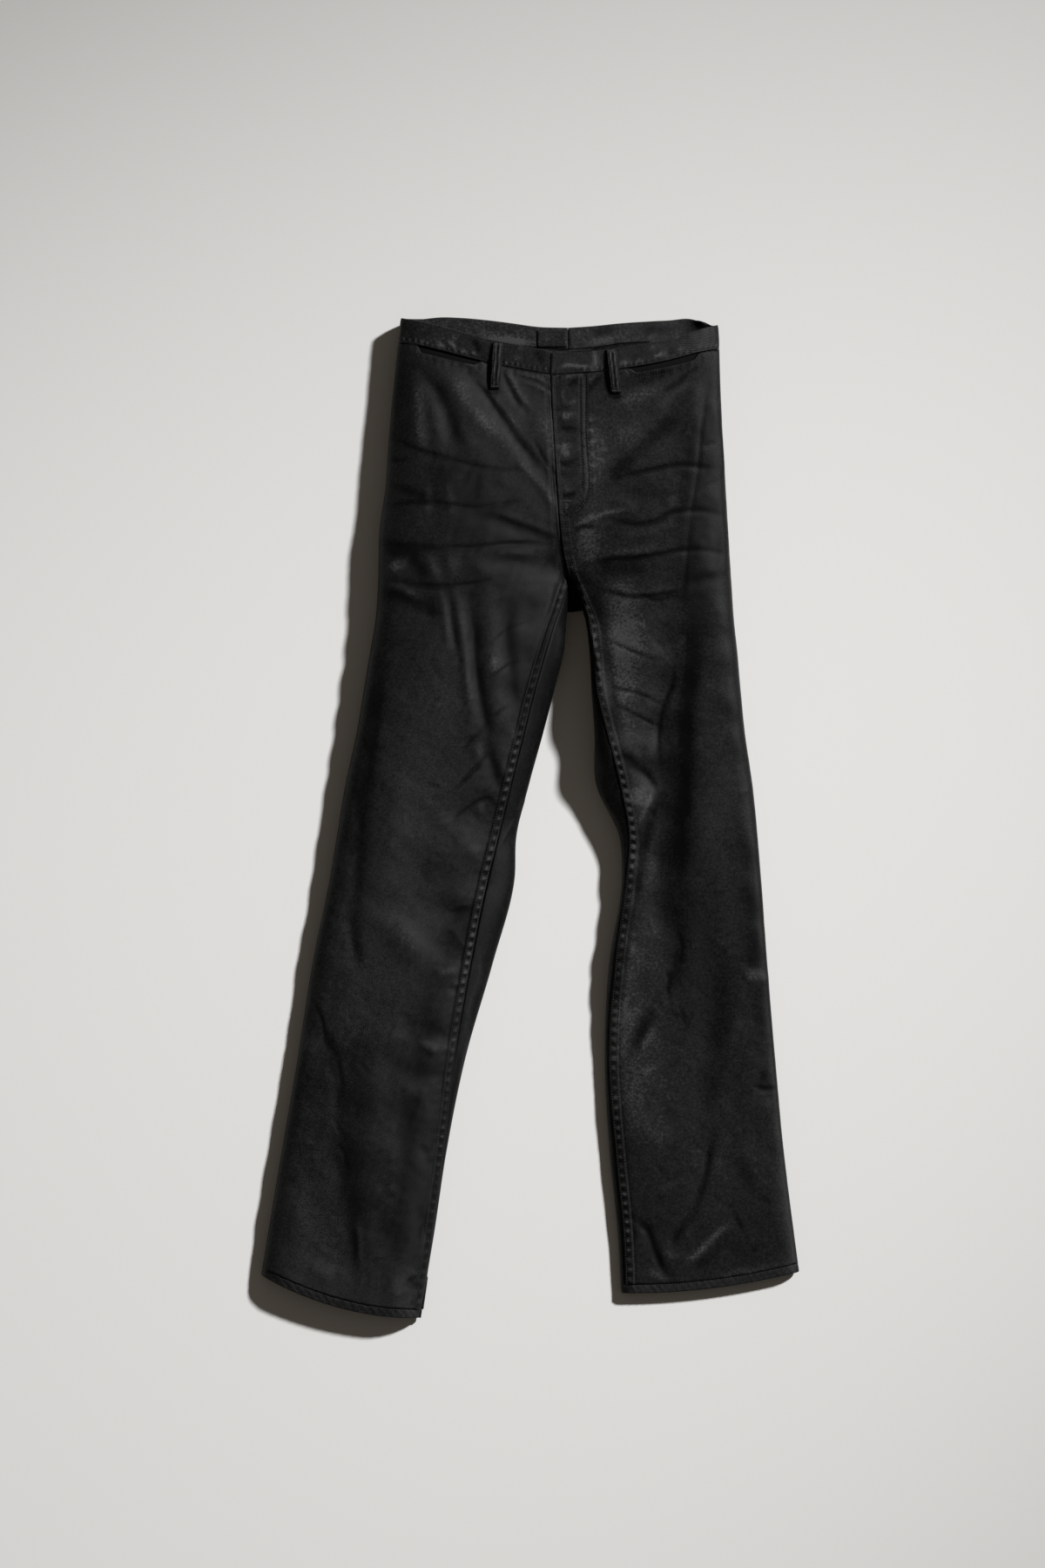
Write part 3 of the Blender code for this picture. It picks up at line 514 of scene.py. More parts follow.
thighLeft = [
    (3, 1.6, 0.8, [(657, 652), (664, 667), (671, 684), (675, 708), (682, 738), (688, 768),
                   (694, 806)]),
    (6.5, -1.6, -0.45, [(679, 674), (685, 700), (691, 728), (697, 759), (701, 792), (705, 826),
                        (712, 858)]),
    (2.3, -1, -0.96, [(694, 733), (712, 742), (732, 750), (747, 756), (761, 758)]),
    (2.3, -1, -0.96, [(700, 787), (713, 792), (728, 795), (743, 801), (757, 808)]),
    (2.3, -1, -0.96, [(708, 810), (726, 819), (743, 828), (756, 834)]),
    (30, 2.2, 0.35, [(722, 706), (730, 735), (728, 770)]),
    (20, 1.4, 0.3, [(720, 812), (730, 838), (728, 862)]),
    (2.8, -1.2, -0.72, [(775, 752), (771, 786), (762, 808), (756, 836), (755, 860), (758, 880)]),
    (5, 0.9, 0.3, [(748, 838), (746, 862), (744, 876)]),
    (7.5, -2.4, -0.9, [(706, 862), (722, 875), (737, 888), (748, 900)]),
    (4.5, -1.4, -0.6, [(738, 888), (746, 896), (752, 907)]),
    (13, 2.6, 0.9, [(731, 900), (733, 915), (731, 930)]),
    (3, 1.2, 0.8, [(749, 905), (744, 921), (737, 936), (730, 948)]),
    (6, -1.8, -0.5, [(757, 912), (749, 932), (741, 956), (735, 985), (730, 1020), (727, 1050)]),
    (9, 1.2, 0.3, [(752, 950), (747, 980), (742, 1010), (736, 1040)]),
    (10, -1.4, -0.85, [(802, 690), (795, 740), (790, 790), (787, 840), (786, 890), (780, 945),
                       (780, 1000), (777, 1058)]),
    (9, 0.9, 0.25, [(772, 700), (778, 740), (772, 800), (766, 850)]),
    (4, 0.8, 0.5, [(846, 911), (855, 908), (862, 905)]),
    (8, 0.8, 0.35, [(852, 925), (856, 940), (858, 958)]),
    (16, 1, 0.2, [(812, 900), (810, 960), (804, 1010)]),
]
calfLeft = [
    (16, 2.2, 0.55, [(730, 1056), (722, 1100), (718, 1140), (714, 1184), (712, 1206)]),
    (6, -1.5, -0.5, [(724, 1050), (718, 1086), (711, 1120), (707, 1158)]),
    (7, -2, -0.7, [(752, 1150), (744, 1166), (734, 1184), (726, 1202), (712, 1221)]),
    (4.5, 1, 0.45, [(753, 1176), (744, 1190), (735, 1206)]),
    (5, 1, 0.4, [(757, 1222), (744, 1228), (732, 1237)]),
    (8, -1.6, -0.5, [(778, 1054), (780, 1080), (776, 1104), (770, 1124), (769, 1142)]),
    (2.4, -0.7, -0.6, [(763, 1112), (768, 1124), (766, 1136), (770, 1146)]),
    (2.4, -0.7, -0.5, [(779, 1070), (783, 1090), (779, 1108)]),
    (2.4, -0.6, -0.5, [(781, 1156), (784, 1165), (786, 1175)]),
    (15, -2.2, -0.45, [(828, 1090), (825, 1130), (822, 1175), (814, 1225), (808, 1270),
                       (806, 1310)]),
    (8, 1.8, 0.9, [(853, 1126), (862, 1121), (874, 1122), (882, 1130)]),
    (6, 0.9, 0.3, [(849, 1166), (842, 1184), (836, 1204)]),
    (10, -0.9, -0.3, [(860, 1150), (868, 1170), (876, 1190)]),
    (3, -1.2, -0.8, [(864, 1246), (876, 1250), (892, 1250)]),
    (9, -0.9, -0.4, [(868, 1236), (880, 1240)]),
    (9, 0.9, 0.3, [(860, 1262), (874, 1266), (886, 1264)]),
    (20, 1.8, 0.45, [(720, 1272), (738, 1290), (756, 1308), (770, 1322)]),
    (4.5, -1.8, -0.75, [(822, 1296), (815, 1318), (810, 1346), (802, 1372), (794, 1392)]),
    (4, -1.5, -0.6, [(796, 1390), (786, 1404), (776, 1417), (769, 1434)]),
    (5, -2, -0.8, [(728, 1397), (742, 1411), (751, 1434), (758, 1452), (769, 1463)]),
    (9, 1.4, 0.25, [(764, 1424), (768, 1440), (772, 1452)]),
    (4, 2, 1, [(783, 1453), (800, 1439), (818, 1420), (838, 1403)]),
    (6, -1.2, -0.35, [(792, 1460), (812, 1444), (832, 1426)]),
    (4, 1, 0.7, [(742, 1461), (754, 1464), (765, 1469)]),
    (4, 0.9, 0.55, [(820, 1463), (850, 1460), (880, 1455), (906, 1450)]),
    (3, 0.5, 0.3, [(753, 1369), (770, 1360), (787, 1352)]),
    (14, 0.9, 0.25, [(850, 1290), (862, 1330), (872, 1380)]),
    (10, -0.9, -0.3, [(846, 1320), (854, 1350), (866, 1376)]),
    (3, -0.6, -0.4, [(842, 1392), (848, 1404), (852, 1412)]),
]
# How each leg has slumped: broad ridges along its edges and hollows between, raised straight up;
# their tones add painted shade and painted light.
formRight = [
    (26, 7, -0.2, [(437, 612), (435, 660), (434, 700), (426, 740), (419, 790), (410, 840),
                   (392, 936)]),
    (24, 5, -0.2, [(397, 905), (387, 960), (379, 1008), (368, 1056), (359, 1104), (352, 1150)]),
    (20, 4, 0, [(356, 1130), (343, 1200), (335, 1260), (326, 1310), (318, 1360), (300, 1470)]),
    (30, 3, 0.1, [(455, 880), (452, 940), (446, 1000), (436, 1050)]),
    (30, -5, 0, [(556, 880), (553, 940), (548, 1000), (540, 1050)]),
    (24, -4, 0, [(520, 1020), (516, 1080), (510, 1130)]),
    (26, 2, -0.35, [(628, 620), (622, 660), (612, 700), (598, 760), (580, 830), (562, 900),
                    (546, 970)]),
    (22, 1.5, -0.45, [(550, 950), (532, 1030), (517, 1100), (503, 1188), (491, 1270), (481, 1350),
                      (472, 1440)]),
    (30, 4, -0.2, [(432, 1150), (426, 1240), (422, 1320), (424, 1410)]),
    # painted shade and painted light over a hand's breadth
    (46, 0, -0.65, [(456, 1130), (432, 1220), (414, 1320), (400, 1450)]),
    (24, 0, -1, [(502, 1230), (492, 1300), (482, 1370), (474, 1460)]),
    (16, 0, 0.4, [(314, 1230), (306, 1300), (298, 1380)]),
    (28, 0, -0.9, [(590, 600), (606, 680), (604, 740), (592, 790)]),
    (28, 0, -0.35, [(350, 1180), (356, 1260), (362, 1340), (374, 1430)]),
    (38, 0, -0.8, [(516, 500), (534, 570), (552, 640), (552, 720)]),
    (20, 0, 0.35, [(560, 440), (580, 470), (604, 500)]),
]
formLeft = [
    (28, 3.5, -1.3, [(822, 430), (824, 520), (828, 600), (836, 690)]),
    (26, 7, -0.3, [(836, 660), (840, 720), (845, 770), (852, 828), (860, 890)]),
    (20, 4.5, -0.2, [(862, 880), (867, 950), (872, 1008), (876, 1056), (881, 1120), (885, 1180)]),
    (14, 2, -0.2, [(888, 1170), (892, 1240), (896, 1300), (902, 1360)]),
    (26, 16, 0.1, [(663, 672), (672, 690), (676, 730), (680, 770), (684, 810), (706, 890),
                   (716, 925)]),
    (16, 6.5, 0.1, [(716, 925), (718, 960), (719, 1010), (712, 1070), (704, 1130), (698, 1180)]),
    (24, -9.5, 0, [(772, 676), (769, 740), (764, 800), (760, 860), (758, 920), (757, 980)]),
    (18, -5, 0, [(758, 940), (757, 1000), (758, 1060), (762, 1100)]),
    # painted light and painted shade over a hand's breadth
    (22, 0, 0.95, [(712, 640), (716, 700), (714, 760), (718, 830)]),
    (18, 0, 0.5, [(676, 460), (680, 540), (680, 600), (676, 650)]),
    (26, 0, 0.4, [(706, 480), (726, 500), (722, 540)]),
    (22, 0, 0.2, [(716, 880), (724, 960), (722, 1060)]),
    (22, 0, 0.65, [(718, 1140), (716, 1200), (726, 1290)]),
    (34, 0, 0.35, [(800, 1150), (806, 1240), (812, 1320), (818, 1410)]),
    (16, 0, 0.6, [(668, 600), (675, 640), (680, 664)]),
    (20, 0, 0.35, [(752, 1010), (750, 1100), (752, 1200), (754, 1290)]),
    (22, 0, -0.7, [(806, 440), (802, 520), (800, 600), (800, 680), (808, 760)]),
    (16, 0, -0.9, [(838, 600), (844, 700), (852, 800), (860, 880), (870, 960), (874, 1060),
                   (884, 1160), (890, 1260)]),
]
bandFront = [   # the waistband's outer face
    (16, 0, 0.4, [(474, 384), (500, 390), (520, 398)]),
    (3, 0.9, 0.8, [(503, 397), (508, 401)]),
    (3.2, 1, 0.9, [(515, 394), (523, 403)]),
    (2.6, 0.8, 0.8, [(529, 403), (536, 409)]),
    (2.4, 0.7, 0.6, [(541, 406), (546, 410)]),
    (8, -0.8, -0.4, [(486, 382), (490, 390)]),
    (4.5, -0.8, -0.5, [(540, 392), (546, 400), (549, 408)]),
    (6, 0.6, 0.4, [(516, 388), (526, 394)]),
    (3.4, 0.6, 0.5, [(594, 404), (599, 400)]),
    (3.4, 0.5, 0.5, [(588, 413), (596, 415)]),
    (5, -0.6, -0.4, [(614, 404), (617, 412), (620, 420)]),
    (2.4, 0.9, 0.8, [(682.5, 408), (683, 415), (684, 423)]),
    (2.6, 0.7, 0.9, [(640, 424), (652, 422), (666, 423), (680, 422)]),
    (3, 0.7, 0.8, [(710, 420), (722, 418)]),
    (2.6, 0.8, 0.9, [(729, 416), (736, 417)]),
    (2.6, 0.8, 0.8, [(748, 412), (756, 410)]),
    (3.5, 0.7, 0.7, [(755, 411), (762, 408)]),
    (5, -0.7, -0.4, [(766, 402), (768, 410)]),
    (4, 0.5, 0.5, [(744, 402), (750, 399)]),
    (3, 0.6, 0.5, [(775, 406), (784, 402)]),
    (3, 0.5, 0.4, [(798, 402), (806, 398)]),
    # painted shadow beside the belt loops
    (2.6, -0.2, -1.2, [(565, 396), (563, 416)]),
    (2.6, -0.2, -1.2, [(694, 405), (696, 426)]),
]
bandInside = [   # the back band's inner face, seen through the waist
    (2, -0.5, -0.8, [(652, 376), (653, 388), (653, 402)]),
    (2, 0.5, 0.5, [(649.5, 378), (650, 399)]),
    (5, 0.6, 0.8, [(553, 386), (575, 391), (600, 394), (614, 396)]),
    (4, 0.5, 0.5, [(626, 380), (628, 392)]),
    (4.5, 0.6, 0.5, [(675, 394), (692, 391), (710, 389)]),
    (5, -0.5, -0.5, [(672, 386), (690, 382), (708, 378)]),
    (6, -0.6, -0.6, [(735, 381), (752, 379), (768, 380)]),
    (3, 0.5, 0.5, [(744, 387), (750, 386)]),
    (1.6, -0.4, -0.8, [(530, 369), (538, 369.5)]),
    # painted shadow inside the right-hand side fold
    (9, 0, -2.4, [(792, 378), (806, 377), (822, 378)]),
]
bandCurl = {   # where the back band's upper edge curls up beside the side folds
    "right": [(7, 2, 0, [(456, 366), (476, 364)])],
    "left": [(7, 8, 0, [(797, 366), (812, 368), (830, 372)])],
}
backOver = [   # the back panels where they roll over the inseams
    (3, 1.2, 0.6, [(604, 912), (597, 930), (594, 946)]),
    (2.4, 0.8, 0.4, [(592, 940), (583, 955), (574, 970)]),
    (3.2, 1.4, 0.6, [(547, 1090), (551, 1108), (550, 1126), (541, 1150), (535, 1178), (530, 1212),
                     (525, 1244)]),
    (4, 0.9, 0.4, [(644, 716), (643, 740), (638, 764)]),
    (3, -0.6, -0.3, [(708, 900), (700, 915), (696, 926)]),
    (3, 0.8, 0.3, [(690, 905), (696, 922), (706, 938)]),
    # painted light on the back panel beside the inseam
    (9, 0, 0.7, [(688, 860), (694, 890), (704, 925)]),
]
backUnder = [   # hidden and guessed: the seat, behind the knees and down the calves
    (6, 1.2, -0.4, [(455, 560), (500, 572), (560, 570), (610, 560)]),
    (5, 1, -0.4, [(700, 552), (750, 566), (800, 560), (826, 548)]),
    (7, 1.5, -0.5, [(450, 655), (500, 676), (560, 690), (620, 700)]),
    (7, 1.4, -0.5, [(690, 700), (740, 690), (790, 672), (834, 652)]),
    (5, 1.1, -0.4, [(440, 716), (490, 736), (550, 744)]),
    (5, 1, -0.4, [(720, 742), (770, 738), (826, 716)]),
    (6, 1.4, -0.5, [(400, 960), (440, 976), (500, 972), (548, 950)]),
    (5, 1.1, -0.4, [(394, 996), (440, 1004), (494, 1014), (540, 1004)]),
    (6, 1.3, -0.5, [(722, 980), (770, 996), (820, 990), (862, 968)]),
    (5, 1, -0.4, [(718, 1022), (762, 1030), (818, 1034), (866, 1016)]),
    (7, 1.2, -0.3, [(420, 1120), (416, 1200), (400, 1290), (392, 1380)]),
    (7, 1.2, -0.3, [(800, 1110), (806, 1200), (798, 1300), (806, 1390)]),
]
creaseForm = {
    "reach": 2.6,            # how many widths away a crease still counts
    "fadeShare": 0.3,        # it fades in over this share of its length
    "endStrength": 0.25,
    "even": 0.86,
    "uneven": 0.14,
}
crinkle = {                  # the small random ones
    "half": (3, 11),         # half their length
    "bend": (-0.35, 0.35),
    "width": (1.8, 3.4),
    "depth": (0.15, 0.4),
    "tone": (0.1, 0.35),
}


def bell(gap, width):
    return np.exp(-((gap / width) ** 2))


def roundedPath(path, steps=6):
    points = np.array(path, float)
    if len(points) < 3:
        return points
    ends = np.vstack([2 * points[0] - points[1], points, 2 * points[-1] - points[-2]])
    t = np.linspace(0, 1, steps, endpoint=False)[:, None]
    run = []
    for a, b, c, d in zip(ends, ends[1:], ends[2:], ends[3:]):
        run.append(0.5 * (2 * b + (c - a) * t + (2 * a - 5 * b + 4 * c - d) * t ** 2
                          + (3 * b - a - 3 * c + d) * t ** 3))
    return np.vstack(run + [points[-1:]])


def nearPath(path, x, y):   # distance to a path, and how far along it, for each place
    starts, spans = path[:-1], np.diff(path, axis=0)
    lengths = np.maximum(np.hypot(*spans.T), 1e-6)
    before = np.concatenate([[0], np.cumsum(lengths)[:-1]])
    toX, toY = x[:, None] - starts[:, 0], y[:, None] - starts[:, 1]
    along = np.clip((toX * spans[:, 0] + toY * spans[:, 1]) / lengths, 0, lengths)
    offX = toX - along * spans[:, 0] / lengths
    offY = toY - along * spans[:, 1] / lengths
    gaps = np.hypot(offX, offY)
    nearest = gaps.argmin(1)
    pick = np.arange(len(x)), nearest
    return gaps[pick], along[pick] + before[nearest], lengths.sum()


def creased(creases, across, up):   # height and tone of a set of creases at each place
    x, y = across - pictureCorner["across"], pictureCorner["up"] - up
    lift, tone = np.zeros_like(x), np.zeros_like(x)
    for number, (width, depth, shadeAndPolish, path) in enumerate(creases):
        path = roundedPath(path)
        reach = creaseForm["reach"] * width
        low, high = path.min(0) - reach, path.max(0) + reach
        near = (x > low[0]) & (x < high[0]) & (y > low[1]) & (y < high[1])
        if not near.any():
            continue
        gap, along, whole = nearPath(path, x[near], y[near])
        fromEnd = np.minimum(along, whole - along) / (creaseForm["fadeShare"] * whole)
        wave = np.sin(along / (7 + number % 5) + number * 2.1)
        uneven = creaseForm["even"] + creaseForm["uneven"] * wave
        strength = bell(gap, width) * mix(creaseForm["endStrength"], 1, ease(fromEnd)) * uneven
        lift[near] += depth * strength
        # painted highlight (tone above 0) and painted shade (below 0) along the crease, partly
        # coating wear
        tone[near] += shadeAndPolish * strength
    return lift, tone


def rippled(across, up, height, seed, waves, longest, shortest):   # gentle unevenness
    draw = np.random.default_rng(seed)
    total = np.zeros_like(across)
    for _ in range(waves):
        length = math.exp(draw.uniform(math.log(shortest), math.log(longest)))
        heading, start = draw.uniform(0, 2 * math.pi, 2)
        bend = 0.5 * np.sin(up / (length * 2.3) + start) + 0.5 * np.sin(across / (length * 1.9))
        run = (across * math.cos(heading) + up * math.sin(heading)) * 2 * math.pi / length
        total += np.sin(run + start + 1.6 * bend)
    return height * (total / math.sqrt(waves / 2) / 2)


def crinkles(seed, count, xRange, yRange):
    draw = np.random.default_rng(seed)
    found = []
    for _ in range(count):
        x, y = draw.uniform(*xRange), draw.uniform(*yRange)
        heading = draw.uniform(0, math.pi)
        half = draw.uniform(*crinkle["half"])
        step = Vector((math.cos(heading) * half, math.sin(heading) * half))
        bend = draw.uniform(*crinkle["bend"])
        path = [(x - step.x, y - step.y), (x - step.y * bend, y + step.x * bend),
                (x + step.x, y + step.y)]
        sign = draw.choice([-1, 1])
        width, depth, tone = (draw.uniform(*crinkle[kind]) for kind in ("width", "depth", "tone"))
        found.append((width, sign * depth, sign * tone, path))
    return found


crinkled = {   # seed, count, and from where to where they lie in the picture
    "right": [(3, 120, (310, 530), (1000, 1490)), (5, 50, (400, 600), (700, 1000))],
    "left": [(7, 120, (700, 900), (1000, 1470)), (9, 40, (700, 860), (700, 1000))],
}
frontCreases = {
    "right": hipRight + thighRight + calfRight,
    "left": hipLeft + flyLeft + thighLeft + calfLeft,
}
for half, fields in crinkled.items():
    for field in fields:
        frontCreases[half] += crinkles(*field)
forms = {"right": formRight, "left": formLeft}
print("creases placed")

# Seams. A felled seam lies in a raised band with a stitch row on each side and puckers between.
seam = {
    "share": 0.3 / 240.0,    # the gap under the waistband, as a share of the body's rows
    "bandWidth": 9.5,
    "bandRise": 0.8,
    "bandDark": 0.15,
    "rowsIn": (1.4, 8.9),    # stitch rows, from the band's edge
    "rowsFrom": 672,         # and where they start and end in the picture
    "rowsTo": {"right": 1496, "left": 1484},
    "groove": 0.5,           # how far the thread pulls the cloth in
    "grooveWidth": 0.9,
    # painted shade in the rows' grooves and beside the band
    "rowShade": 0.3,
    "beside": 0.35,          # the dip beside the band
    "besideAt": 1.4,
    "besideWidth": 1.2,
    "besideShade": 0.15,
    "legFrom": 10.0,         # the inseam's relief sets in over this much below the crotch
    "puckerPitch": 11.0,
    "puckerRise": 0.85,
    "puckerWidth": 2.6,
    "puckerHighlight": 2.4,
    "puckerRibs": 0.13,      # puckers run on into the panel
    "puckerSeed": {"right": 1.0, "left": 2.6},
    "puckersAt": [660, 760, 880, 920, 980, 1110, 1200, 1300, 1480],
    "puckers": {             # how strong they are at these heights in the picture
        "right": [0.5, 0.5, 0.7, 1.0, 1.15, 1.1, 0.7, 0.7, 0.55],
        "left": [0.45, 0.5, 0.8, 1.1, 1.0, 0.45, 0.55, 0.8, 0.6],
    },
}
fly = {
    "width": 39.0,
    "rise": 0.6,
    "riseIn": 8.0,
    "bottom": 595.0,         # picture's y of the J's foot
    "turn": 547.0,           # and where it starts to turn in
    "foot": 0.93,            # how nearly the foot closes
    "edgeRise": 0.6,
    "edgeWidth": 2.2,
    "edgeRow": 2.0,
    "edgeRowFrom": 434,
    "besideShade": 0.25,
    "jShade": 0.9,
    "reliefFrom": 400,       # these three start at these heights in the picture
    "jFrom": 428,
    "barsFrom": 455,
    "barAt": 480,            # height of one bar
    "barPitch": 12.5,
    "barRise": 0.16,
    "jRows": [
        [(672, 434), (672, 498), (675.4, 547), (674, 568), (666, 584), (655, 592), (644, 595)],
        [(665.6, 434), (666.3, 498), (669, 554), (666.3, 577), (659, 585), (645, 589)],
    ],
    "crotchRows": (2.0, 8.2),
    "crotchFrom": 594.0,
    "crotchTo": 664,
    "crotchBand": 9.6,
}
pocket = {
    "from": 0.42,            # shares of the way round the front
    "to": 0.69,
    "taper": 0.03,
    "drop": 7.5 / 300,       # shares of the body's rows
    "facing": 14.0 / 300,
    "rows": (1.6, 6.6),
    "rowInset": 0.012,
    "under": [-0.14, -0.07],   # the facing's rows under the waistband
    "underDeeper": 1.3,      # and how much deeper it lies there
    "underFrom": 0.012,
}
waistSeam = {"dip": 0.8, "dipWidth": 2.2, "edge": 0.35, "ribs": 0.35, "ribsAt": 5.0,
             "pull": 0.35, "rowShade": 0.4}


def groove(gap):   # where a row of thread pulls the cloth in
    return bell(gap, seam["grooveWidth"])


def flyReach(y):   # how far the J lies from the fly's edge
    turn = np.clip((y - fly["turn"]) / (fly["bottom"] - fly["turn"]), 0, 1)
    return fly["width"] * np.sqrt(1 - fly["foot"] * turn ** 2)


def puckers(along, seed):   # cloth gathered between two stitch rows, as uneven blobs
    phase = along / seam["puckerPitch"] * 2 * np.pi + 0.9 * np.sin(along / 37 + seed)
    uneven = 0.65 + 0.35 * np.sin(along / 23 + 2.3 * seed) * np.sin(along / 61 + seed)
    return uneven * np.clip(0.15 + np.cos(phase), -0.35, 1.15)


def bandProfile(gap, width):
    return ease((gap + 0.6) / 1.2) * ease((width + 1.5 - gap) / 2.2)


def fromSeamLine(half, across, up):   # distance from the centre front or the inseam, into the front
    return sideOf[half] * (across - frontLine(half, up) - seamShift(half, up))


def inseamBand(half, gap, up, leg):
    width = seam["bandWidth"]
    y = pictureCorner["up"] - up
    strong = np.interp(y, seam["puckersAt"], seam["puckers"][half])
    band = bandProfile(gap, width) * leg
    blob = puckers(up, seam["puckerSeed"][half]) * strong
    middle = bell(gap - width * 0.5, seam["puckerWidth"]) * leg
    lift = seam["bandRise"] * band + seam["puckerRise"] * blob * middle
    # painted highlight on the puckers' tops, painted shade along the band
    tone = np.clip(blob, -0.35, 1) * seam["puckerHighlight"] * middle - seam["bandDark"] * band
    for at in seam["rowsIn"]:
        pull = groove(gap - at) * leg
        lift -= 0.5 * seam["groove"] * pull
        tone -= seam["rowShade"] * pull
    beside = bell(gap - width - seam["besideAt"], seam["besideWidth"]) * leg
    ribs = np.cos(up / seam["puckerPitch"] * 2 * np.pi + 1.1) * bell(gap - width - 5, 5.0)
    lift += seam["puckerRibs"] * strong * ribs * leg - seam["beside"] * beside
    return lift, tone - seam["besideShade"] * beside


def flySeams(gap, across, up, body):   # the left front lies over the right
    y = pictureCorner["up"] - up
    onFly = ease((y - fly["reliefFrom"]) / 5) * ease((fly["bottom"] + 3 - y) / 4) * body
    reach = flyReach(y)
    lift = fly["rise"] * ease((reach - gap) / fly["riseIn"]) * onFly
    lift = lift + fly["edgeRise"] * bell(gap, fly["edgeWidth"]) * body
    # painted shade beside the fly's raised edge
    tone = -fly["besideShade"] * bell(gap - reach - 1.8, 1.8) * onFly
    x = across - pictureCorner["across"]
    near = (gap < fly["width"] + 8) & (y > fly["jFrom"]) & (y < fly["bottom"] + 8)
    for path in fly["jRows"]:
        away = np.full_like(gap, 99.0)
        away[near] = nearPath(roundedPath(path), x[near], y[near])[0]
        lift -= seam["groove"] * groove(away)
        # painted shade in the J rows' grooves
        tone -= fly["jShade"] * bell(away, 0.8)
    lift -= 0.3 * groove(gap - fly["edgeRow"]) * onFly
    bars = np.cos((y - fly["barAt"]) / fly["barPitch"] * 2 * np.pi)
    bars = bars * ease((reach - 10 - gap) / 4) * ease((y - fly["barsFrom"]) / 20)
    lift += fly["barRise"] * bars * onFly
    crotch = ease((y - fly["crotchFrom"]) / 4) * body
    felled = bandProfile(gap, fly["crotchBand"]) * crotch
    gathered = puckers(up, 0.4) * felled
    lift += seam["bandRise"] * felled + 0.25 * gathered
    # painted highlight on the crotch seam's puckers, painted shade in its rows' grooves
    tone += 0.2 * gathered
    for at in fly["crotchRows"]:
        pull = groove(gap - at) * crotch
        lift -= seam["groove"] * pull
        tone -= 0.6 * pull
    return lift, tone


def frontSeams(half, across, up):
    gap = fromSeamLine(half, across, up)
    leg = ease((cut["crotchUp"] - up) / seam["legFrom"])
    lift, tone = inseamBand(half, gap, up, leg)
    if half == "left":
        flyLift, flyTone = flySeams(gap, across, up, 1 - leg)
        return lift + flyLift, tone + flyTone
    under = bell(gap, 2.0) * (1 - leg)
    # painted shade under the left front's edge
    return lift - 0.5 * under, tone - 0.35 * under


def pocketNotch(u):   # how far the front's upper edge drops along its pocket
    within = np.minimum(u - pocket["from"], pocket["to"] - u)
    return pocket["drop"] * ease(within / pocket["taper"])


def waistPull(half, u, v):   # the panel dips into the waist seam, and puckers under it
    notch = pocketNotch(u)
    down = (v - notch) * cut["bodyRun"]
    atSeam = 1 - np.clip(notch / pocket["drop"], 0, 1)
    dip = bell(down, waistSeam["dipWidth"]) * atSeam
    ribs = np.cos(u * 130 + sideOf[half]) * np.cos(u * 53) * bell(down - waistSeam["ribsAt"], 6.0)
    lift = waistSeam["ribs"] * ribs - waistSeam["dip"] * dip
    lift = lift + waistSeam["edge"] * bell(down, 2.5) * (1 - atSeam)
    # painted shade in the dip under the waist seam and in the pocket rows' grooves
    tone = -0.5 * dip
    for at in pocket["rows"]:
        pull = groove(down - at) * (1 - atSeam)
        lift -= waistSeam["pull"] * pull
        tone -= waistSeam["rowShade"] * pull
    return lift, tone


# Finishes. A piece's "tone" attribute lightens or darkens its coating's colour: partly wear,
# mostly painted highlight and painted shade along its creases, seams, puckers and edges.
coat = {
    # the darkest stop also carries painted shade, and the lightest painted highlight
    "mattAndShade": (0.0012, 0.0012, 0.0013),
    "plain": (0.0062, 0.0061, 0.0063),
    "worn": (0.0140, 0.0138, 0.0142),
    "polishAndHighlight": (0.052, 0.0516, 0.0524),
    "plainAt": 0.36,                 # how worn the coating is where it is plain
    "wornAt": 0.62,
    "toneWear": 0.52,                # how far a crease's tone changes that
    "roughness": (0.48, 0.64),       # where the coating is whole, and where it is worn
    "specular": (0.135, 0.205),
    "specularFull": 0.4,             # how worn the coating is where the second value is reached
    "cloudy": (20.0, 3.0, 0.24),     # changes to a metre, detail and strength
    "leathery": (115.0, 4.0, 0.3),
    "speckled": (340.0, 3.0, 1.5),
    "speckles": (0.35, 0.6),         # their strength for each step of tone, and elsewhere
    "crackled": 150.0,
    "crackDepth": 0.10,
    "leatherHeight": 0.04,           # millimetres
    "grainHeight": 0.15,
    "grainShare": 0.10,
}
lining = {"shift": -0.25, "roughness": (0.85, 0.75), "height": 0.05}
twill = {
    "pitch": 0.0014,                 # metres
    "turn": 1.1,                     # radians
    "thread": 0.0021,                # metres
    "fuzz": 900.0,                   # changes to a metre
}
threadFinish = {"dark": (0.004, 0.004, 0.0042), "light": (0.05, 0.0495, 0.0505),
                "twists": 1400.0, "relief": 0.06, "roughness": 0.5}


def shaderNode(tree, kind, sockets=None, **settings):
    made = tree.nodes.new("ShaderNode" + kind)
    for key, value in settings.items():
        setattr(made, key, value)
    for key, value in (sockets or {}).items():
        if isinstance(value, bpy.types.NodeSocket):
            tree.links.new(value, made.inputs[key])
        else:
            made.inputs[key].default_value = value
    return made


def calc(tree, operation, *values, clamp=False):
    sockets = dict(enumerate(values))
    return shaderNode(tree, "Math", sockets, operation=operation, use_clamp=clamp).outputs[0]


def effectGroup(name, inputs, outputs):
    group = bpy.data.node_groups.new(name, "ShaderNodeTree")
    for label, kind in inputs.items():
        group.interface.new_socket(name=label, in_out="INPUT", socket_type="NodeSocket" + kind)
    for label in outputs:
        group.interface.new_socket(name=label, in_out="OUTPUT", socket_type="NodeSocketFloat")
    given = group.nodes.new("NodeGroupInput").outputs
    wanted = group.nodes.new("NodeGroupOutput").inputs
    return group, given, wanted


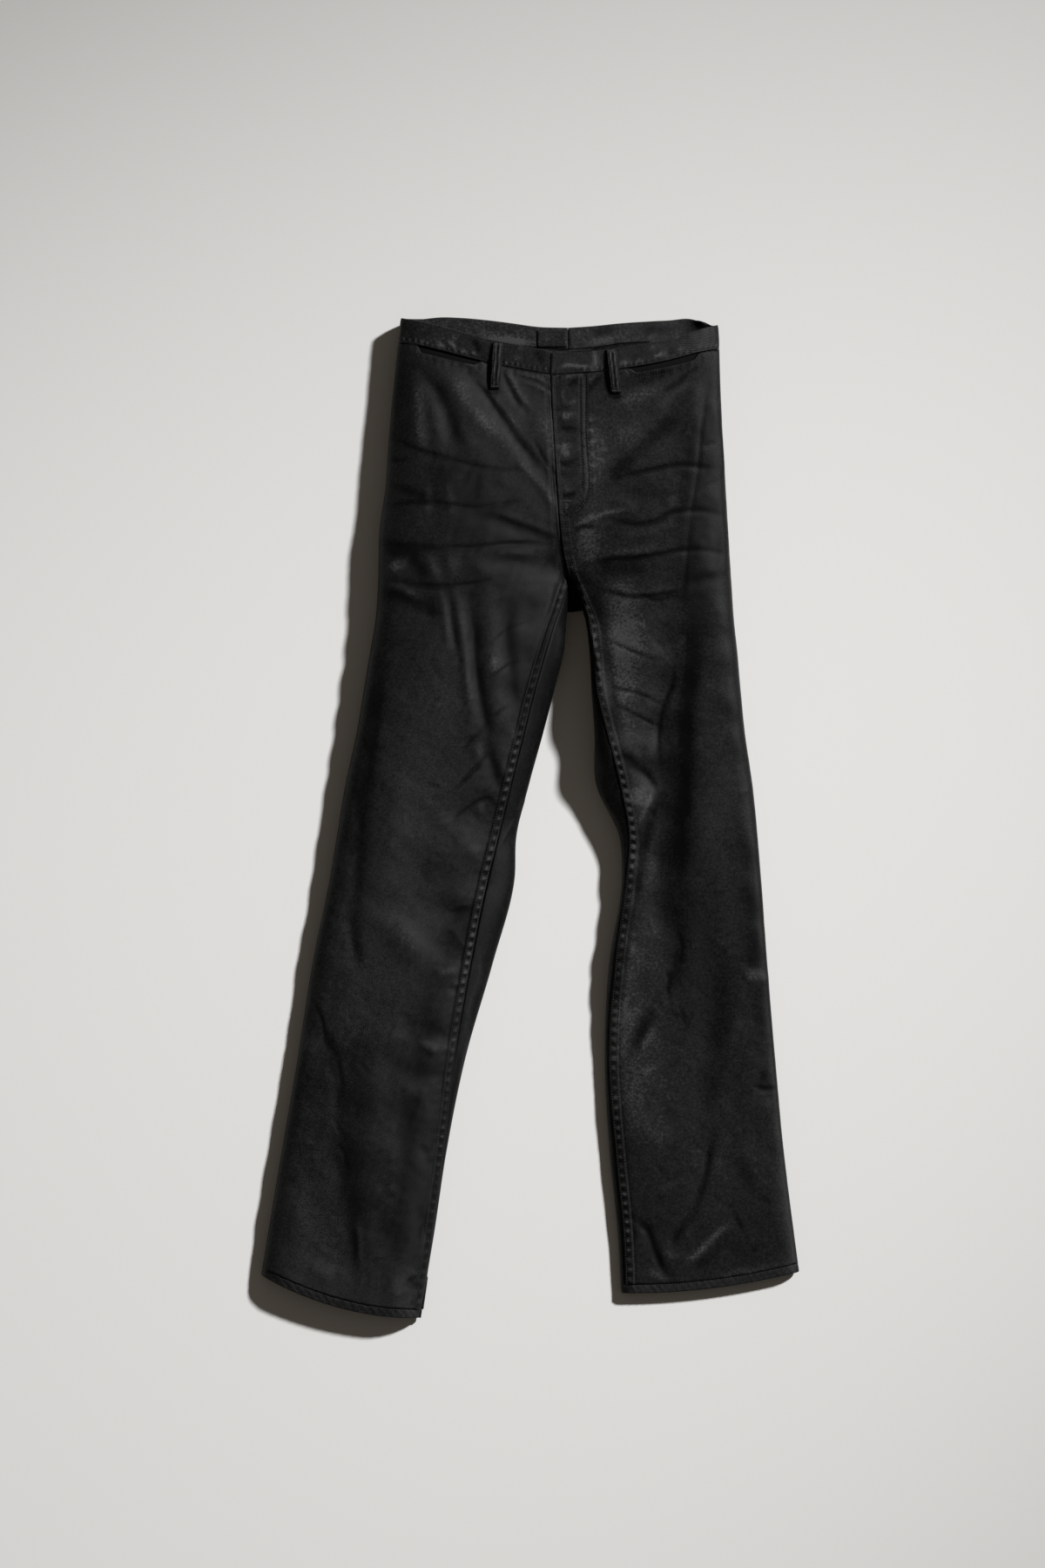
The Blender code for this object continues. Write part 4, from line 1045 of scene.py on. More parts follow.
def twillGroup():   # fine diagonal ribs, broken into threads; Cloth is in metres
    group, given, wanted = effectGroup("twillGrain", {"Cloth": "Vector"}, ["Grain"])
    ribStep = 2 * math.pi / twill["pitch"]
    across = (ribStep * math.cos(twill["turn"]), ribStep * math.sin(twill["turn"]), 0)
    along = (-math.sin(twill["turn"]) * 2 * math.pi / twill["thread"],
             math.cos(twill["turn"]) * 2 * math.pi / twill["thread"], 0)
    waves = []
    for direction in (across, along):
        run = shaderNode(group, "VectorMath", {0: given["Cloth"], 1: direction},
                         operation="DOT_PRODUCT")
        waves.append(calc(group, "SINE", run.outputs["Value"]))
    threads = calc(group, "MULTIPLY", waves[0], calc(group, "MULTIPLY_ADD", waves[1], 0.4, 0.5))
    fuzz = shaderNode(group, "TexNoise", {"Vector": given["Cloth"], "Scale": twill["fuzz"],
                                          "Detail": 2.0})
    uneven = calc(group, "MULTIPLY", calc(group, "SUBTRACT", fuzz.outputs[0], 0.5), 1.6)
    ribs = calc(group, "MULTIPLY", calc(group, "ADD", waves[0], threads), 0.32)
    group.links.new(calc(group, "ADD", ribs, uneven), wanted["Grain"])
    return group


def coatGroup():   # how worn the coating is, with the tone's painted highlight and shade added, and its leathery relief
    group, given, wanted = effectGroup("coatWearAndShade", {"Place": "Vector", "Tone": "Float"},
                                       ["Wear", "Relief"])
    place, tone = given["Place"], given["Tone"]

    def noise(scale, detail, spread):
        made = shaderNode(group, "TexNoise", {"Vector": place, "Scale": scale, "Detail": detail,
                                              "Roughness": 0.6})
        return calc(group, "MULTIPLY", calc(group, "SUBTRACT", made.outputs[0], 0.5), spread)

    cloud, leather, speckle = (noise(*coat[kind]) for kind in ("cloudy", "leathery", "speckled"))
    bright = calc(group, "MULTIPLY_ADD", calc(group, "MAXIMUM", tone, 0.0), *coat["speckles"])
    cells = shaderNode(group, "TexVoronoi", {"Vector": place, "Scale": coat["crackled"]},
                       feature="DISTANCE_TO_EDGE")
    crack = shaderNode(group, "MapRange", {"Value": cells.outputs["Distance"], "From Max": 0.10,
                                           "To Min": -coat["crackDepth"], "To Max": 0.0})
    # the tone brings in painted highlight and painted shade from creases, seams and edges
    wear = calc(group, "MULTIPLY_ADD", tone, coat["toneWear"], coat["plainAt"])
    for part in (cloud, leather, calc(group, "MULTIPLY", speckle, bright), crack.outputs[0]):
        wear = calc(group, "ADD", wear, part)
    group.links.new(calc(group, "MAXIMUM", calc(group, "MINIMUM", wear, 1.0), 0.0), wanted["Wear"])
    relief = calc(group, "ADD", leather, calc(group, "MULTIPLY", crack.outputs[0], 3.0))
    group.links.new(relief, wanted["Relief"])
    return group


def bumped(tree, height, distance, onto=None):
    sockets = {"Height": height, "Distance": distance * mm, "Strength": 1.0}
    if onto:
        sockets["Normal"] = onto
    return shaderNode(tree, "Bump", sockets).outputs[0]


def clothMaterial(name, wearShift, roughness, reliefHeight):
    material = bpy.data.materials.new(name)
    material.use_nodes = True
    tree = material.node_tree
    place = shaderNode(tree, "TexCoord").outputs["Object"]
    cloth = shaderNode(tree, "UVMap", uv_map="cloth").outputs[0]
    tone = shaderNode(tree, "Attribute", attribute_name="tone").outputs["Fac"]
    worn = shaderNode(tree, "Group", node_tree=coatWearAndShade)
    tree.links.new(place, worn.inputs["Place"])
    tree.links.new(calc(tree, "ADD", tone, wearShift), worn.inputs["Tone"])
    grain = shaderNode(tree, "Group", node_tree=twillGrain)
    tree.links.new(cloth, grain.inputs["Cloth"])
    fine = calc(tree, "MULTIPLY", grain.outputs["Grain"], coat["grainShare"])
    shade = calc(tree, "ADD", worn.outputs["Wear"], fine, clamp=True)
    ramp = shaderNode(tree, "ValToRGB", {"Fac": shade})
    stops = ramp.color_ramp.elements
    stops[0].color = (*coat["mattAndShade"], 1)
    stops[1].color = (*coat["polishAndHighlight"], 1)
    for kind in ("plain", "worn"):
        stops.new(coat[kind + "At"]).color = (*coat[kind], 1)

    def byWear(low, high, full=1.0):
        return shaderNode(tree, "MapRange", {"Value": shade, "From Max": full, "To Min": low,
                                             "To Max": high})

    rough = byWear(*roughness)
    shine = byWear(*coat["specular"], coat["specularFull"])
    relief = bumped(tree, worn.outputs["Relief"], reliefHeight)
    shader = tree.nodes["Principled BSDF"]
    tree.links.new(ramp.outputs[0], shader.inputs["Base Color"])
    tree.links.new(rough.outputs[0], shader.inputs["Roughness"])
    tree.links.new(bumped(tree, grain.outputs["Grain"], coat["grainHeight"], relief),
                   shader.inputs["Normal"])
    tree.links.new(shine.outputs[0], shader.inputs["Specular IOR Level"])
    return material


def threadMaterial():
    material = bpy.data.materials.new("sewingThread")
    material.use_nodes = True
    tree = material.node_tree
    place = shaderNode(tree, "TexCoord").outputs["Object"]
    twist = shaderNode(tree, "TexNoise", {"Vector": place, "Scale": threadFinish["twists"],
                                          "Detail": 1.0})
    ramp = shaderNode(tree, "ValToRGB", {"Fac": twist.outputs[0]})
    for stop, colour in zip(ramp.color_ramp.elements, ("dark", "light")):
        stop.color = (*threadFinish[colour], 1)
    shader = tree.nodes["Principled BSDF"]
    tree.links.new(ramp.outputs[0], shader.inputs["Base Color"])
    relief = bumped(tree, twist.outputs[0], threadFinish["relief"])
    tree.links.new(relief, shader.inputs["Normal"])
    shader.inputs["Roughness"].default_value = threadFinish["roughness"]
    return material


twillGrain = twillGroup()
coatWearAndShade = coatGroup()
coatedDenim = clothMaterial("coatedDenim", 0.0, coat["roughness"], coat["leatherHeight"])
innerDenim = clothMaterial("innerDenim", lining["shift"], lining["roughness"], lining["height"])
sewingThread = threadMaterial()
print("finishes made")


def meshPiece(mesh, name, material):
    data = bpy.data.meshes.new(name)
    mesh.to_mesh(data)
    mesh.free()
    data.materials.append(material)
    data.shade_smooth()
    piece = bpy.data.objects.new(name, data)
    bpy.context.scene.collection.objects.link(piece)
    return piece


def toFrame(points):
    return (points - np.array([cut["middle"], cut["length"] / 2, 0])) * mm


surfaces = {}   # each cloth surface before it gets its thickness, for placing stitches on


def clothRuns(grid):   # distance along the cloth, across and down, in millimetres
    across = np.zeros(grid.shape[:2])
    across[:, 1:] = np.cumsum(np.linalg.norm(np.diff(grid, axis=1), axis=2), axis=1)
    down = np.zeros(grid.shape[:2])
    down[1:] = np.cumsum(np.linalg.norm(np.diff(grid, axis=0), axis=2), axis=0)
    return across - across[:, -1:] / 2, down - down[-1:]   # from the lower edge


def clothPiece(name, columns, rows, place, material, closedAround=False, closedOver=False):
    # a flat grid of cloth, bent by place(column, row), which gives points, tones and the way out
    closed = closedAround or closedOver
    mesh = bmesh.new()
    bmesh.ops.create_grid(mesh, x_segments=len(columns) - 1, y_segments=len(rows) - 1, size=0.5)
    uv = mesh.loops.layers.uv.new("cloth")
    toneLayer = mesh.verts.layers.float.new("tone")
    verts = list(mesh.verts)
    flat = np.array([vert.co for vert in verts])
    column = np.rint((flat[:, 0] + 0.5) * (len(columns) - 1)).astype(int)
    row = np.rint((flat[:, 1] + 0.5) * (len(rows) - 1)).astype(int)
    points, tones, out = place(np.array(columns)[column], np.array(rows)[row])
    grid = np.zeros((len(rows), len(columns), 3))
    grid[row, column] = points
    if closedAround:
        grid[:, -1] = grid[:, 0]
    if closedOver:
        grid[-1] = grid[0]
    acrossRun, downRun = clothRuns(grid)
    placed = toFrame(grid[row, column])
    for k, vert in enumerate(verts):
        vert.co = placed[k]
        vert[toneLayer] = tones[k]
        for loop in vert.link_loops:
            loop[uv].uv = (acrossRun[row[k], column[k]] * mm, downRun[row[k], column[k]] * mm)
    if closed:
        bmesh.ops.remove_doubles(mesh, verts=mesh.verts, dist=1e-7)
        ends = [edge for edge in mesh.edges if edge.is_boundary]
        if ends:
            bmesh.ops.holes_fill(mesh, edges=ends, sides=0)
        bmesh.ops.recalc_face_normals(mesh, faces=mesh.faces)
    mesh.normal_update()
    if not closed:   # its faces have to look out, which a sample of its points tells
        facing = sum(verts[k].normal.dot(Vector(out[k])) for k in range(0, len(verts), 37))
        if facing < 0:
            bmesh.ops.reverse_faces(mesh, faces=mesh.faces)
    surfaces[name] = BVHTree.FromBMesh(mesh)
    area = sum(face.calc_area() for face in mesh.faces)
    wide, long = np.ptp(acrossRun, axis=1).max() * mm, np.ptp(downRun, axis=0).max() * mm
    if closed:   # a folded strip: one of its two faces is its cut
        area = area / 2
        wide, long = (wide, long / 2) if closedOver else (wide / 2, long)
    print(name, len(columns), "x", len(rows), "cut", round(wide, 3), round(long, 3), round(area, 4))
    return meshPiece(mesh, name, material)


def thickened(piece, thickness):
    solid = piece.modifiers.new("cloth", "SOLIDIFY")
    solid.thickness = thickness * mm
    solid.offset = -1
    return piece


def madeFor(piece, slot, *nodes):
    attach(piece, "root")
    if nodes:
        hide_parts(*nodes)
    return piece


def between(stops):   # values from (value, steps to the next) pairs
    run = [np.linspace(a, b, steps, endpoint=False) for (a, steps), (b, _) in zip(stops, stops[1:])]
    return np.concatenate(run + [[stops[-1][0]]])


def columnsFromShares(shares):   # u of the columns at these shares of the way from the inner line
    arcs = 2 / np.pi * np.arcsin(np.sqrt(1 - shares))
    return (1 - arcs) / (1 + cut["sideWrap"])


panel = {
    "creased": 0.95,
    "toned": 1.2,
    "ripple": (0.21, 11, 16, 110, 34),   # height, seed, waves, and the longest and shortest wave
    "fineRipple": (0.125, 12, 26, 30, 10),
    "sideSeam": 0.4,
    "sideSeamShade": 0.3,
    "edgeShade": 0.5,
    "backRipple": (1.0, 21, 16, 110, 34),
    "rippledOver": 0.3,
    "rippledUnder": 0.35,
    "backDark": 0.45,
    "toInseam": 0.5,
    "centreSeam": 0.5,
    "crotchEase": 0.75,      # the sharp turn at the crotch is eased off the surface
    "crotchEaseWidth": 2.5,
    "bodyRows": 118,
    "legRows": 302,
    "shares": {              # closest where the seams and the fly's stitches are
        "right": [(0, 16), (0.055, 80), (0.93, 9), (1, 0)],
        "left": [(0, 16), (0.06, 8), (0.15, 17), (0.225, 56), (0.93, 8), (1, 0)],
    },
    "wrapColumns": 6,
    "backColumns": [(1 + 1e-6, 8), (2, 20), (3, 10), (4, 26), (5, 0)],
    "backBodyRows": 100,
    "backLegRows": 280,
}


def frontColumns(half):
    over = columnsFromShares(between(panel["shares"][half]))
    return np.concatenate([over, np.linspace(over[-1], 1, panel["wrapColumns"] + 1)[1:]])


def rowsDown(body, leg):
    return np.concatenate([np.linspace(seam["share"], 1, body + 1), np.linspace(1, 2, leg + 1)[1:]])


def onTop(out):   # fades out where the cloth turns down to its edge
    return ease(out[:, 2] / 0.45)


def inFront(u):   # fades out past the side
    return ease((1.02 - u) / 0.08)


def slumped(half, points, out):   # the leg's own slump
    rise, tone = creased(forms[half], points[:, 0], points[:, 1])
    up = onTop(out)
    points = points.copy()
    points[:, 2] += rise * up
    return points, tone * up


def facingUp(out):   # creases fade out round the edge, so that nothing goes below the surface
    return ease((out[:, 2] + 0.3) / 0.75)


def frontCloth(half, u, v):
    points, out = outside(half, u, v), outward(half, u, v)
    across, up = points[:, 0], points[:, 1]
    points, slumpTone = slumped(half, points, out)
    lift, tone = creased(frontCreases[half], across, up)
    lift, tone = lift * panel["creased"], tone + slumpTone
    for kind in ("ripple", "fineRipple"):
        lift = lift + rippled(across, up, *panel[kind])
    lift = lift * facingUp(out)
    seamLift, seamTone = frontSeams(half, across, up)
    waistLift, waistTone = waistPull(half, u, v)
    lift = lift + seamLift + waistLift * ease(out[:, 2] / 0.5)
    tone = tone + seamTone + waistTone
    sideSeam = bell((1 - u) * 120, 1.6)
    lift = lift - panel["sideSeam"] * sideSeam
    # painted shade in the side seam's groove and where the cloth turns down to its edge
    tone = panel["toned"] * tone - panel["sideSeamShade"] * sideSeam
    tone = tone - panel["edgeShade"] * ease((0.75 - out[:, 2]) / 0.5)
    return points + out * lift[:, None], tone, out


def frontPanel(half):
    def place(u, v):
        upperEdge = np.clip((0.1 - v) / (0.1 - seam["share"]), 0, 1)
        return frontCloth(half, u, v + pocketNotch(u) * upperEdge)

    name = "front_" + half
    rows = rowsDown(panel["bodyRows"], panel["legRows"])
    piece = clothPiece(name + "_cloth", frontColumns(half), rows, place, coatedDenim)
    return madeFor(thickened(piece, cut["panelCloth"]), "coated_denim", name)


def backCloth(half, u, v):
    points, out = outside(half, u, v), outward(half, u, v)
    across, up = points[:, 0], points[:, 1]
    points, slumpTone = slumped(half, points, out)
    lift, tone = creased(backOver, across, up)
    tone = tone + slumpTone
    waves = rippled(across, up, *panel["backRipple"])
    over, onFloor = onTop(out), ease((-out[:, 2] - 0.6) / 0.4)
    underLift, underTone = creased(backUnder, across, up)
    toInseam = bell(fromSeamLine(half, across, up), 1.8) * (v > 1) * over
    lift = (lift + panel["rippledOver"] * waves) * over - panel["toInseam"] * toInseam
    # painted shade where the back panel runs in under the inseam
    tone = tone * over + underTone * onFloor - 0.4 * toInseam - panel["backDark"]
    points = points + out * lift[:, None]
    points[:, 2] = np.maximum(points[:, 2], 0)
    crotch = bell((v - cut["climbFrom"]) * 100, panel["crotchEaseWidth"]) * ease((u - 3.4) / 0.8)
    points[:, 2] += panel["crotchEase"] * crotch
    centreSeam = bell((5 - u) * 20, 2.0) * (v < cut["climbFrom"])
    points[:, 2] += onFloor * (underLift + panel["rippledUnder"] * np.clip(waves, 0, None))
    points[:, 2] += panel["centreSeam"] * centreSeam
    return points, tone, out


def backPanel(half):
    name = "back_" + half
    rows = rowsDown(panel["backBodyRows"], panel["backLegRows"])
    piece = clothPiece(name + "_cloth", between(panel["backColumns"]), rows,
                       lambda u, v: backCloth(half, u, v), coatedDenim)
    return madeFor(thickened(piece, cut["panelCloth"]), "coated_denim", name)


def foldedSection(top, bottom, radii, outerSteps, innerSteps, rimSteps=5):
    # a folded strip's rows: over its outer face, round its fold, back on its inner face and round
    turn = np.linspace(0, np.pi, rimSteps + 2)[1:-1]
    outer = np.linspace(bottom - radii[1], top + radii[0], outerSteps)
    inner = np.linspace(top + radii[0], bottom - radii[1], innerSteps)
    v = np.concatenate([outer, top + radii[0] * (1 - np.sin(turn)), inner,
                        bottom - radii[1] * (1 - np.sin(turn)), outer[:1]])
    depth = np.concatenate([np.zeros(outerSteps), (1 - np.cos(turn)) / 2, np.ones(innerSteps),
                            (1 + np.cos(turn)) / 2, [0]])
    return v, depth


waistband = {
    "depth": 28.0,
    "rows": (-0.93, -0.07),  # its stitch rows
    "pillow": 0.25,
    "puckersIn": 0.14,       # how far above the seam its lower row puckers, as a share of its depth
    "puckerRise": 0.35,
    "puckerHighlight": 1.7,
    "ripple": (0.12, 31, 22, 40, 10),
    "toned": 1.5,
    "rowPull": 0.35,
    "rowShade": 0.4,
    "insideRipple": (0.15, 33, 18, 36, 9),
    "insideTone": 0.55,
    "tabReach": 50.0,        # how far the left end lies over the right one's stiffening
    "tabRise": 1.5,
    "ledge": 0.0075,         # how far its inner layer reaches past the seam at the sides
    "stands": 6.5,           # how far the back's upper edge stands above the front's
    "standsAt": 189.5,
    "standsWidth": 18.0,
    "backColumns": [(1 + 1e-6, 8), (2, 34), (3, 14), (4, 14), (5, 0)],
}


def bandPuckers(across):   # gathered above the waist seam, 6 to 8 mm apart
    phase = across / 6.9 * 2 * np.pi + 1.5 * np.sin(across / 17)
    uneven = 0.5 + 0.5 * np.sin(across / 11.3 + 0.7) * np.sin(across / 31)
    return np.clip(np.cos(phase), -0.25, 1) * uneven


def bandCloth(half, u, v, depth):
    # at the sides the inner layer reaches a little past the seam, so that no light comes through
    ledge = ease((depth - 0.55) / 0.35) * ease((v + 0.05) / 0.03)
    ledge = ledge * ease((u - 0.72) / 0.06) * ease((2.6 - u) / 0.3)
    v = mix(v, waistband["ledge"], ledge)
    outer, out = outside(half, u, v), outward(half, u, v)
    if half == "left":   # beside the fold
        beside = bell(outer[:, 0] - waistband["standsAt"], waistband["standsWidth"])
        outer[:, 1] += waistband["stands"] * beside * ease((u - 1) / 0.5) * np.clip(-v, 0, 1)
    across, up = outer[:, 0], outer[:, 1]
    front = inFront(u)
    folds, foldTone = creased(bandFront, across, up)
    fine = rippled(across, up, *waistband["ripple"])
    lift = (folds * front + fine) * facingUp(out)
    lift = lift + waistband["pillow"] * np.sin(np.pi * np.clip(v + 1, 0, 1))
    aboveSeam = (v + waistband["puckersIn"]) * waistband["depth"]
    gathered = bandPuckers(across) * bell(aboveSeam, 2.6) * front
    lift += waistband["puckerRise"] * gathered
    # painted highlight on the puckers above the waist seam
    tone = waistband["toned"] * foldTone * front + waistband["puckerHighlight"] * gathered
    for at in waistband["rows"]:
        pull = groove((v - at) * waistband["depth"])
        lift -= waistband["rowPull"] * pull
        tone -= waistband["rowShade"] * pull
    lift *= 1 - depth
    tone *= 1 - depth
    if half == "left":
        gap = across - smooth(bodySections, "centreFront", up)
        lift += waistband["tabRise"] * ease((waistband["tabReach"] - gap) / 3) * front
        # painted shadow along the tab's edge
        tone -= 0.4 * bell(gap - 1.0, 1.5) * front * (1 - depth)
    points = outer + out * (lift - cut["foldedCloth"] * depth)[:, None]
    inside, insideTone = creased(bandInside, across, up)
    atBack = ease((u - 1.05) / 0.5) * depth
    fine = rippled(across, up, *waistband["insideRipple"])
    points[:, 2] += (inside + fine) * atBack
    points[:, 2] += creased(bandCurl[half], across, up)[0] * ease((u - 1.3) / 0.5)
    insideTone = waistband["toned"] * insideTone + waistband["insideTone"]
    return points, tone + insideTone * atBack, out


def waistbandPiece(half):
    radii = (1.2 / waistband["depth"], 0.5 / waistband["depth"])
    v, depth = foldedSection(-1, 0, radii, 26, 20)
    columns = np.concatenate([frontColumns(half)[:-1], between(waistband["backColumns"])])

    def place(u, k):
        return bandCloth(half, u, v[k], depth[k])

    name = "waistband_" + half
    piece = clothPiece(name + "_cloth", columns, range(len(v)), place, coatedDenim, closedOver=True)
    return madeFor(piece, "coated_denim", name)


hem = {
    "row": 2.12,
    "roping": 0.12,
    "pitch": 8.5,
    "creased": 0.6,
    "pull": (0.35, 0.2),     # of its row, below and on top
    "backColumns": [(1 + 1e-6, 8), (2, 30), (3, 8), (4, 10), (5, 0)],
}


def hemCloth(half, u, v, depth):
    outer, out = outside(half, u, v), outward(half, u, v)
    across, up = outer[:, 0], outer[:, 1]
    folds, tone = creased(frontCreases[half], across, up)
    twist = np.cos((across + 0.7 * up) / hem["pitch"] * 2 * np.pi + np.sin(across / 19))
    lift = (hem["creased"] * folds * inFront(u) + hem["roping"] * twist) * facingUp(out)
    pull = groove((v - hem["row"]) * cut["hemDepth"])
    lift = (lift - mix(*hem["pull"], facingUp(out)) * pull) * (1 - depth)
    # painted highlight on the roping, painted shade in the row's groove
    tone = (tone * inFront(u) + 0.15 * twist - 0.25 * pull) * (1 - depth)
    return outer + out * (lift - cut["foldedCloth"] * depth)[:, None], tone, out


def hemPiece(half):
    v, depth = foldedSection(2 + 0.5 * cut["seamGap"] / cut["hemDepth"], 3, (0.01, 0.12), 11, 5)
    columns = np.concatenate([frontColumns(half)[:-1], between(hem["backColumns"])])

    def place(u, k):
        return hemCloth(half, u, v[k], depth[k])

    name = "hem_" + half
    piece = clothPiece(name + "_cloth", columns, range(len(v)), place, coatedDenim,
                       closedAround=True, closedOver=True)
    return madeFor(piece, "coated_denim", name)


def pocketFacing(half):
    inset = cut["panelCloth"] + 2 * cut["seamGap"]

    def place(u, v):   # its upper edge runs on under the waistband
        out = outward(half, u, v)
        deeper = pocket["underDeeper"] * ease((pocket["underFrom"] - v) / pocket["underFrom"])
        return outside(half, u, v) - out * (inset + deeper)[:, None], np.full(len(u), -1.0), out

    name = "pocket_facing_" + half
    columns = np.linspace(pocket["from"], pocket["to"], 40)
    rows = np.concatenate([pocket["under"], np.linspace(0, pocket["facing"], 11)])
    piece = clothPiece(name + "_cloth", columns, rows, place, innerDenim)
    return madeFor(thickened(piece, cut["panelCloth"]), "inner_denim", name)


patch = {"width": 34.0, "depth": 19.0, "cloth": 0.8, "below": 3.0, "height": 5.3, "tone": 0.6}


def innerPatch():   # a bare patch inside the back band
    left = cut["centreBackTop"] - 1 - patch["width"]
    top = waistSections[0].rightBackTop - patch["below"]

    def place(aside, below):
        across, up = left + aside, top - below
        rise, tone = creased(bandInside, across, up)
        height = patch["height"] + patch["cloth"] + rise
        upward = np.tile([0.0, 0.0, 1.0], (len(aside), 1))
        return np.stack([across, up, height], -1), tone + patch["tone"], upward

    piece = clothPiece("inner_patch_cloth", np.linspace(0, patch["width"], 18),
                       np.linspace(0, patch["depth"], 11), place, innerDenim)
    return madeFor(thickened(piece, patch["cloth"]), "inner_denim", "inner_patch")


loopRow = namedtuple("loopRow", "name layer topAcross topUp lowAcross lowUp")
beltLoops = [
    loopRow("belt_loop_front_right", "front", -35.5, 1117.0, -39.0, 1064.0),
    loopRow("belt_loop_front_left", "front", 94.0, 1109.0, 99.5, 1059.0),
    loopRow("belt_loop_back_right", "back", -66.0, 1143.0, -68.0, 1091.0),
    loopRow("belt_loop_back_centre", "back", 44.5, 1134.0, 44.5, 1082.0),
    loopRow("belt_loop_back_left", "back", 150.0, 1139.0, 152.0, 1087.0),
]
loopCut = {
    "width": 11.5,
    "cloth": 1.8,
    "bow": 2.8,
    "off": 0.8,              # off the cloth under it
    "ridge": 0.45,
    "ridgeAt": 2.3,
    "ridgeHighlight": 1.1,
    "rowAt": 4.1,
    "rowPull": 0.3,
    "plainTone": -0.35,
    "tacksAt": (0.045, 0.955),
    "tackReach": 4.6,
}


def onFront(across, up):
    middle = smooth(bodySections, "centreFront", np.maximum(up, cut["crotchUp"]))

    def height(x, y):
        return np.where(x < middle, topHeight("right", x, y), topHeight("left", x, y))

    slopeX = (height(across + 1, up) - height(across - 1, up)) / 2
    slopeY = (height(across, up + 1) - height(across, up - 1)) / 2
    out = np.stack([-slopeX, -slopeY, np.ones_like(slopeX)], -1)
    out /= np.linalg.norm(out, axis=-1, keepdims=True)
    return np.stack([across, up, height(across, up)], -1), out


def loopCloth(strip, aside, along, depth):   # a strip, tacked at both ends
    across = mix(strip.topAcross, strip.lowAcross, along) + aside
    up = mix(strip.topUp, strip.lowUp, along)
    toRidge, toRow = np.abs(aside) - loopCut["ridgeAt"], np.abs(aside) - loopCut["rowAt"]
    face = loopCut["ridge"] * bell(toRidge, 1.3) - loopCut["rowPull"] * bell(toRow, 0.6)
    face = face + 0.15 * np.sin(along * 31) * np.sin(along * 12.7)
    # painted highlight along the loop's ridges
    tone = loopCut["ridgeHighlight"] * bell(toRidge, 0.9) + loopCut["plainTone"]
    tone = tone + 0.35 * np.sin(along * 17 + across)
    end = ease(np.minimum(along, 1 - along) / 0.09)
    face = (face * end - 0.5 * (1 - end)) * (1 - depth)
    if strip.layer == "back":
        base, out = np.stack([across, up, 0 * up], -1), np.tile([0.0, 0.0, -1.0], (len(up), 1))
        off = -loopCut["cloth"] * depth + np.minimum(face - 0.5, 0) * (1 - depth)
    else:
        base, out = onFront(across, up)
        off = loopCut["off"] + loopCut["bow"] * np.sin(np.pi * along)
        off = off + (1 - depth) * loopCut["cloth"] + face
    return base + out * off[:, None], tone * (1 - depth), out


def beltLoop(strip):
    half, radius = loopCut["width"] / 2, loopCut["cloth"] / 2
    aside, depth = foldedSection(half, -half, (-radius, -radius), 22, 8)

    def place(k, along):
        return loopCloth(strip, aside[k], along, depth[k])

    piece = clothPiece(strip.name + "_cloth", range(len(aside)), np.linspace(0, 1, 40), place,
                       coatedDenim, closedAround=True)
    return madeFor(piece, "coated_denim", strip.name)


for half in ("right", "left"):
    frontPanel(half)
    backPanel(half)
    waistbandPiece(half)
    hemPiece(half)
    pocketFacing(half)
for strip in beltLoops:
    beltLoop(strip)
innerPatch()
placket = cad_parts["fly_placket"]
placket.data.materials.clear()
placket.data.materials.append(innerDenim)
print("cloth made")

thread = {
    "pitch": 3.2,            # one stitch and the space after it
    "length": 2.3,
    "radius": 0.28,
    "raised": 0.06,          # over the cloth
    "tackPitch": 0.75,
    "tackLength": 2.4,
    "tackRadius": 0.33,
}
# Bar tacks, and short rows on the band, in the picture.
frontTacks = {
    "right": [[(553, 418.5), (557, 423.5)], [(484, 400), (488, 404.5)],
              [(624, 432.5), (631, 433.5)]],
    "left": [[(643, 577), (656, 577)], [(716.5, 427.5), (721, 431.5)]],
}
bandRows = {
    "right": [[(548, 370), (548, 386)], [(617, 379), (617, 392)]],
    "left": [[(636.5, 410), (636.2, 420), (636.5, 430)]],
}


def castRow(name, path, step=2.0):   # a path drawn in the picture's plane, dropped on the cloth
    path = roundedPath(path) if len(path) < 30 else np.array(path, float)
    run = np.concatenate([[0], np.cumsum(np.hypot(*np.diff(path, axis=0).T))])
    at = np.linspace(0, run[-1], max(int(run[-1] / step), 2) + 1)
    x, y = np.interp(at, run, path[:, 0]), np.interp(at, run, path[:, 1])
    places = [x + pictureCorner["across"], pictureCorner["up"] - y, np.full_like(x, 200)]
    points, outs = [], []
    for place in toFrame(np.stack(places, -1)):
        hit, out, _, _ = surfaces[name + "_cloth"].ray_cast(Vector(place), Vector((0, 0, -1)))
        if hit:
            points.append(hit)
            outs.append(out if out.z > 0 else -out)
    return np.array(points), np.array(outs)


def clothRow(cloth, *where):   # the same along a row of a piece's own columns
    points, _, out = cloth(*where)
    return toFrame(points), out


def stitches(mesh, run, pitch, length, radius, turned=False):
    points, outs = run
    if len(points) < 2:
        return
    along = np.concatenate([[0], np.cumsum(np.linalg.norm(np.diff(points, axis=0), axis=1))])
    count = max(int(along[-1] / (pitch * mm)), 1)
    at = (np.arange(count) + 0.5) * along[-1] / count
    step = 0.3 * mm
    middle, ahead, behind, out = (
        np.stack([np.interp(where, along, values[:, k]) for k in range(3)], 1)
        for where, values in ((at, points), (at + step, points), (at - step, points), (at, outs))
    )
    for k in range(count):
        way, outWay = Vector(ahead[k] - behind[k]), Vector(out[k])
        if way.length < 1e-9:
            continue
        forward = way.normalized()
        aside = outWay.cross(forward).normalized()
        if turned:
            forward, aside = aside, -forward
        upward = forward.cross(aside)
        frameOf = Matrix((forward * length / 2 * mm, aside * radius * mm, upward * radius * mm))
        matrix = frameOf.transposed().to_4x4()
        matrix.translation = Vector(middle[k]) + upward * thread["raised"] * mm
        bmesh.ops.create_icosphere(mesh, subdivisions=1, radius=1, matrix=matrix)


